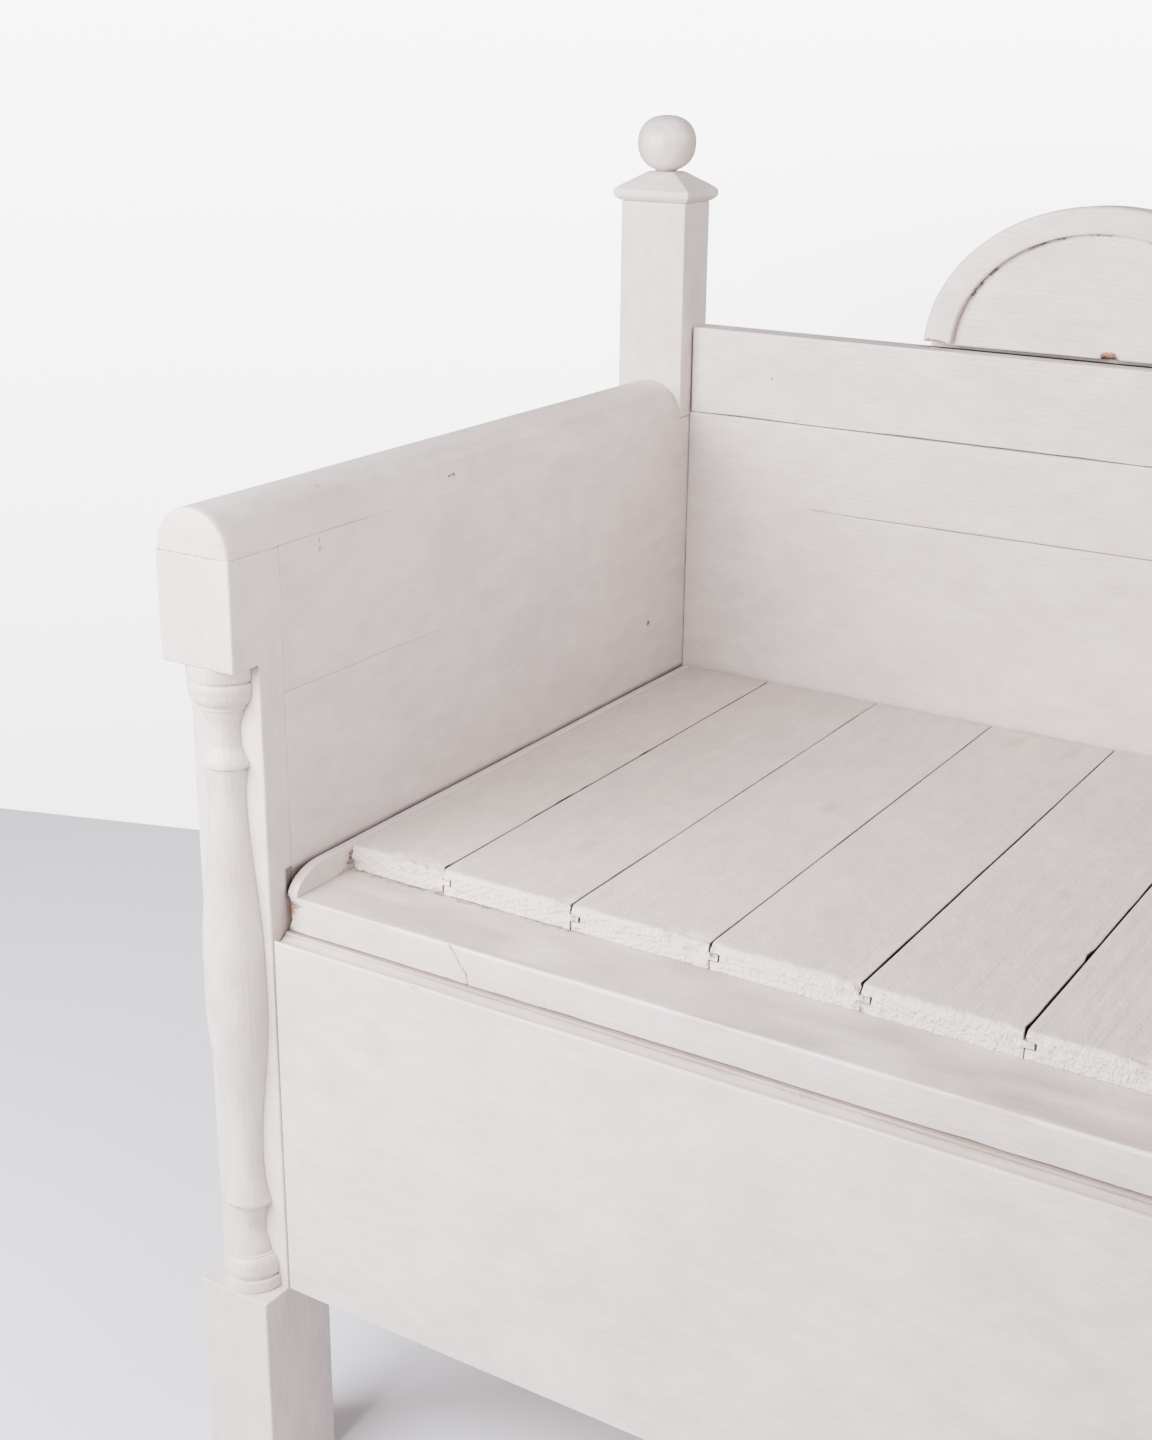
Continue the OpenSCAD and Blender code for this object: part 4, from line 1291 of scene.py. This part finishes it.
def lid_front_rail():
    low, high = box_mm("lid_front_rail")
    xs = np.concatenate([
        lines((low[0], CRACKED[0]), 9, 2.4)[:-3], lines(CRACKED, 1.1, 0), lines((CRACKED[1], high[0]), 9, 2.4)[2:],
    ])
    ys = np.concatenate([low[1] + np.array([0, 1.0, 2.2, 4.0]), lines((low[1] + 7, high[1]), 11, 0)])
    zs = np.concatenate([[low[2]], np.linspace(low[2] + 2.4, high[2] - 2.4, 14), [high[2]]])
    bm = start_mesh(*cells(xs, ys, zs, boxes([(low, high)])))
    soften(bm, 2.0, 4, profile=0.5)

    def shape(co, no):
        y, z = co[:, 1] - low[1], co[:, 2] - low[2]
        at_front = np.clip(1 - y / 4.0, 0, 1)
        # planed front edge that leans back a little and is knocked at the left end
        co[:, 1] += at_front * (0.25 + 0.25 * soft(co * (1, 0, 0), 70, 310))
        knock = near(co, (low[0], low[1], low[2] + 14), (16, 10, 14)) * 1.6
        co[:, 0] += knock * 0.8
        co[:, 1] += knock * 0.7
        co[:, 2] += fade(z, 4.0) * at_front * np.clip(soft(co * (1, 0, 0), 22, 311), 0, 1) * 1.2
        co[:, 1] += crack_lines(co, high[2]) * at_front * 0.7
        return co

    move_points(bm, shape)
    weather(bm, 312, 0.2, 0.3)

    def marks(co, no):
        x, y, z = (co - low).T
        planks = PLANK_FRONT - low[1]
        out = plain_marks(0.2, 313, [
            ("wear", (low[0] + 4, low[1], low[2] + 19), (12, 8, 5), 0.85),
            ("wear", (low[0], low[1] + 4, low[2] + 14), (6, 10, 12), 0.9),
            ("grime", (low[0] + 4, low[1], low[2] + 19), (9, 6, 4), 0.62),
            ("grime", (low[0] + 4, low[1], low[2] + 1), (9, 6, 3), 0.70),
        ])(co, no)
        # painted highlight along the rail's top front arris
        arris = fade(np.hypot(np.clip(y - 2, 0, None), np.clip(high[2] - co[:, 2] - 2, 0, None)), 3.5)
        add_mark(out, "polish", arris * (x > 20))
        # painted shade over the rail's top, and near black where the boards cover it
        out["shade"] = 0.60 * (no[:, 2] > 0.8) * np.clip(0.55 + 0.7 * soft(co, (45, 14, 9), 317), 0, 1)
        out["inside"] = ((z > 20) & (y > planks + 1.2)).astype(float)
        ragged = np.clip(0.78 + 0.5 * soft(co, (16, 50, 50), 314), 0, 1) * smooth_step(1.5 * (1 - x / 115.0))
        add_mark(out, "wear", fade(z, 3.2) * fade(y, 3.0) * ragged)
        add_mark(out, "grime", crack_lines(co, high[2]) * fade(y, 5.0) * 0.85)
        # painted shade along the line under the boards' front ends, fainter to the right
        fainter_right = 0.45 * smooth_step((x - 130) / 130)
        under = fade(np.abs(y - planks), 3.0) * (z > 20)
        add_mark(out, "grime", under * (0.75 - fainter_right + 0.3 * soft(co, 12, 315)))
        strip = fade(np.abs(x - 8.0), 1.8) * (z > 20) * (y < planks)
        add_mark(out, "grime", strip * (0.85 + 0.4 * soft(co, 10, 316)))
        return out

    finish_piece("lid_front_rail", bm, PAINTS["x"], marks, "lid")


STRIP_SWEEP = 30.0   # how far back the end strips' curved front reaches


def lid_end_strip(side, sign):
    """Thin strip that closes the end of the lid and sweeps down to the rail in front."""
    low, high = box_mm("lid_end_strip_left")
    close = np.array([0, 0.35, 0.9, 1.8])
    xs = np.concatenate([low[0] + close, [(low[0] + high[0]) / 2], high[0] - close[::-1]])
    ys = np.concatenate([
        low[1] + np.array([0, 0.4, 1.0, 1.8, 2.8, 4.2, 6.0, 8.4, 11.2, 14.4, 18, 22, 26, 30]),
        lines((low[1] + 33, high[1]), 12, 0),
    ])
    zs = np.concatenate([low[2] + np.array([0, 4, 8, 12]), high[2] - np.array([2.0, 0.9, 0])])
    bm = start_mesh(*cells(xs, ys, zs, boxes([(low, high)])))

    def shape(co, no):
        y, z = co[:, 1] - low[1], (co[:, 2] - low[2]) / (high[2] - low[2])
        t = np.clip((STRIP_SWEEP - y) / STRIP_SWEEP, 0, 1)
        tall = np.maximum(0.9, (high[2] - low[2]) * np.sqrt(np.clip(1 - t ** 2.0, 0, 1)))
        tall = tall - 0.25 - 0.2 * soft(co * (0, 1, 0), 50, 320)
        edge = np.minimum(co[:, 0] - low[0], high[0] - co[:, 0])
        fall = (1 - np.clip(edge / 1.8, 0, 1)) ** 2
        co[:, 2] = low[2] + z * (tall - fall * np.clip(tall / 3, 0, 1))
        return co

    move_points(bm, shape)
    weather(bm, 321 + int(sign), 0.15, 0.2)
    mirrored(bm, sign)
    finish_piece("lid_end_strip_" + side, bm, PAINTS["y"], plain_marks(0.4, 322, [
        ("grime", (sign * high[0], PLANK_FRONT + 1, low[2] + 9), (2.2, 4, 13), 1.0),
        ("grime", (sign * high[0], PLANK_FRONT - 12, low[2]), (3, 14, 2.0), 0.8),
        ("wear", (sign * low[0], low[1], low[2]), (5, 6, 4), 0.8),
    ]), "lid")


# ------------------------------------------------------------- hardware ----

def parts_of(name):
    """The separate solids of a CAD node, as (low, high) corners in mm."""
    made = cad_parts[name]
    bm = bmesh.new()
    bm.from_mesh(made.data)
    bm.transform(made.matrix_world)
    bmesh.ops.remove_doubles(bm, verts=bm.verts, dist=0.00002)
    left = set(bm.verts)
    out = []
    while left:
        group, queue = [], [left.pop()]
        while queue:
            v = queue.pop()
            group.append(np.array(v.co) / MM)
            for e in v.link_edges:
                other = e.other_vert(v)
                if other in left:
                    left.remove(other)
                    queue.append(other)
        out.append((np.min(group, 0), np.max(group, 0)))
    bm.free()
    return sorted(out, key=lambda c: tuple(np.round(c[0], 1)))


def fixings(name, body, sink, slotted, head_first):
    """Screws or nails in the places of the CAD ones. head_first says for a box which end carries the head:
    -1 the low end of its longest side, 1 the high end."""
    whole = bmesh.new()
    for n, (low, high) in enumerate(parts_of(name)):
        size = high - low
        axis = int(np.argmax(size))
        u, w = (axis + 1) % 3, (axis + 2) % 3
        head_r = min(size[u], size[w]) / 2 - 0.1
        shank_r, tall = head_r * 0.55, size[axis] - sink
        thick = head_r * 0.42
        one = start_mesh(*lathe([
            (0.0, 0.0), (shank_r * 0.4, 0.3), (shank_r, head_r), (shank_r, tall - thick - head_r * 0.5),
            (head_r * 0.97, tall - thick), (head_r, tall - thick * 0.6), (head_r * 0.93, tall - thick * 0.2),
            (head_r * 0.55, tall - 0.02), (0.0, tall),
        ], 24))
        if slotted:
            turn = math.radians(37 * n)
            for v in one.verts:
                across = v.co.x * math.sin(turn) - v.co.y * math.cos(turn)
                if v.co.z > tall - thick * 0.3 and abs(across) < head_r * 0.16:
                    v.co.z -= thick * 0.5
        way = head_first(low, high)
        for v in one.verts:
            place = (low + high) / 2
            place[u] += v.co.x
            place[w] += v.co.y * way
            place[axis] = low[axis] + v.co.z if way > 0 else high[axis] - v.co.z
            v.co = place
        join(whole, one)
    finish_piece(name, whole, IRON, None, body, 30.0)


def hardware():
    """Pins keep their CAD shape; nails are punched below the surface and screws get slotted heads."""
    for name in ("pivot_pin_left", "pivot_pin_right"):
        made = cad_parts[name]
        made.data.materials.clear()
        made.data.materials.append(IRON)
    fixings("lid_screws", "lid", 0.05, True, lambda low, high: -1)
    fixings("arch_screws", "bench", 0.05, True, lambda low, high: 1)
    fixings("side_board_nails", "bench", 1.6, False, lambda low, high: -1 if low[0] > 0 else 1)


for side_name, side_sign in SIDES.items():
    for build in (front_post, back_post, post_cap, ball_finial, half_column, arm_rail, side_boards, lid_end_strip):
        build(side_name, side_sign)
back_boards()
crest_rail()
arch_board()
arch_rim()
front_panel()
box_inside()
for board_no in range(1, 8):
    seat_board(board_no)
lid_front_rail()
board("lid_back_rail", *box_mm("lid_back_rail"), "x", 331, body="lid", step=(34, 18, 10), arris=1.0)
hardware()


# ---------------------------------------------------------------- studio ---

FLOOR_FAR, FLOOR_SHADED = srgb(240, 240, 249), srgb(214, 213, 225)
# The floor ends where the pale background begins, along a line a little askew to the bench; in metres
FLOOR_ALONG, FLOOR_AWAY = np.array([0.9496, 0.3133]), np.array([-0.3133, 0.9496])
FLOOR_START = np.array([-1.520, 0.509])
WALL_TINT = srgb(249, 249, 252)
WALL_SEEN = (4.9, 8.9)        # strength low down and at the top of the picture
WORLD_LIGHT = (0.89, 0.37)    # strength from the sides and from above
LAMPS = (
    # name, place, aim, size, watts, colour
    ("front_left_window", (-0.70, -1.15, 1.15), (-0.35, 0.0, 0.65), (1.1, 0.8), 96.0, (1.0, 0.98, 0.975)),
    ("right_fill", (2.3, 0.5, 1.5), (-0.3, 0.1, 0.6), (1.4, 1.4), 84.0, (1.0, 0.96, 0.965)),
)
LENS, SENSOR = 48.99, 36.0                            # mm
CAMERA_PLACE = (0.4527, -1.1689, 1.0124)              # metres
AZIMUTH, ELEVATION, ROLL = 32.04, 19.56, 0.57         # degrees


def placed(name, data, place, facing, roll=0.0):
    """A lamp or camera that looks along facing."""
    made = bpy.data.objects.new(name, data)
    bpy.context.scene.collection.objects.link(made)
    made.location = place
    made.rotation_mode = "QUATERNION"
    made.rotation_quaternion = Vector(facing).to_track_quat("-Z", "Y") @ Quaternion((0, 0, 1), roll)
    return made


def studio_floor(g):
    """Pale floor, darkened a little towards the bench as painted shade."""
    coords = g.node("TexCoord")["Object"]
    cloud = g.node("TexNoise", {"Vector": coords, "Scale": 1.2, "Detail": 3.0})["Fac"]
    tone = g.mix(g.ramp(g.node("SeparateXYZ", {0: coords})[0], -1.3, -0.3), FLOOR_FAR, FLOOR_SHADED)
    g.put(g.tint(tone, (cloud, 0.3, 0.7, 0.2, FLOOR_FAR)), g.shader.inputs["Base Color"])
    g.shader.inputs["Roughness"].default_value = 0.75


def floor_sheet():
    bm = bmesh.new()
    bm.faces.new([
        bm.verts.new((*(FLOOR_START + FLOOR_ALONG * along - FLOOR_AWAY * near_by), 0.0))
        for along, near_by in ((6, 0), (-6, 0), (-6, 9), (6, 9))
    ])
    bmesh.ops.subdivide_edges(bm, edges=bm.edges, cuts=12, use_grid_fill=True)
    bmesh.ops.recalc_face_normals(bm, faces=bm.faces)
    mesh = bpy.data.meshes.new("studio_floor")
    bm.to_mesh(mesh)
    bm.free()
    mesh.materials.append(material("studio_floor", studio_floor))
    floor = bpy.data.objects.new("studio_floor", mesh)
    bpy.context.scene.collection.objects.link(floor)


def world_light():
    """A bright background for the camera, and a softer light that comes mostly from the front and the sides."""
    world = bpy.data.worlds.new("studio")
    bpy.context.scene.world = world
    g = Graph(world)
    g.tree.nodes.clear()
    x, y, z = g.node("SeparateXYZ", {0: g.node("TexCoord")["Generated"]})
    # The backdrop is painted darker low down and in its lower right corner, as painted shade on the wall.
    dim_corner = g.times(g.ramp(x, -0.52, -0.34), g.ramp(z, -0.03, -0.13, 0.0, 0.22))
    seen = g.node("Background", {"Color": WALL_TINT, "Strength": g.times(
        g.ramp(z, -0.36, 0.0, *WALL_SEEN), g.maths("SUBTRACT", 1.0, dim_corner),
    )})[0]
    light = g.node("Background", {"Color": (1.0, 0.985, 0.985, 1.0), "Strength": g.times(
        g.ramp(z, 0.1, 0.9, *WORLD_LIGHT), g.ramp(z, 0.0, 0.45, 0.15, 1.0),
        g.ramp(y, -0.6, 0.3, 0.52, 1.3), g.ramp(x, 0.0, 0.8, 1.0, 1.5),
    )})[0]
    both = g.node("MixShader", {0: g.node("LightPath")["Is Camera Ray"], 1: light, 2: seen})[0]
    g.node("OutputWorld", {"Surface": both})


def lamps():
    for name, place, aim, size, power, tint in LAMPS:
        lamp = bpy.data.lights.new(name, "AREA")
        lamp.shape = "RECTANGLE"
        lamp.size, lamp.size_y = size
        lamp.energy = power
        lamp.color = tint
        placed(name, lamp, place, np.array(aim, float) - np.array(place, float))


def camera():
    data = bpy.data.cameras.new("camera")
    data.sensor_fit = "AUTO"
    data.sensor_width = SENSOR
    data.lens = LENS
    data.clip_start, data.clip_end = 0.05, 50.0
    azimuth, elevation, roll = (math.radians(angle) for angle in (AZIMUTH, ELEVATION, ROLL))
    facing = (
        -math.sin(azimuth) * math.cos(elevation), math.cos(azimuth) * math.cos(elevation), -math.sin(elevation),
    )
    bpy.context.scene.camera = placed("camera", data, CAMERA_PLACE, facing, roll)


floor_sheet()
world_light()
lamps()
camera()
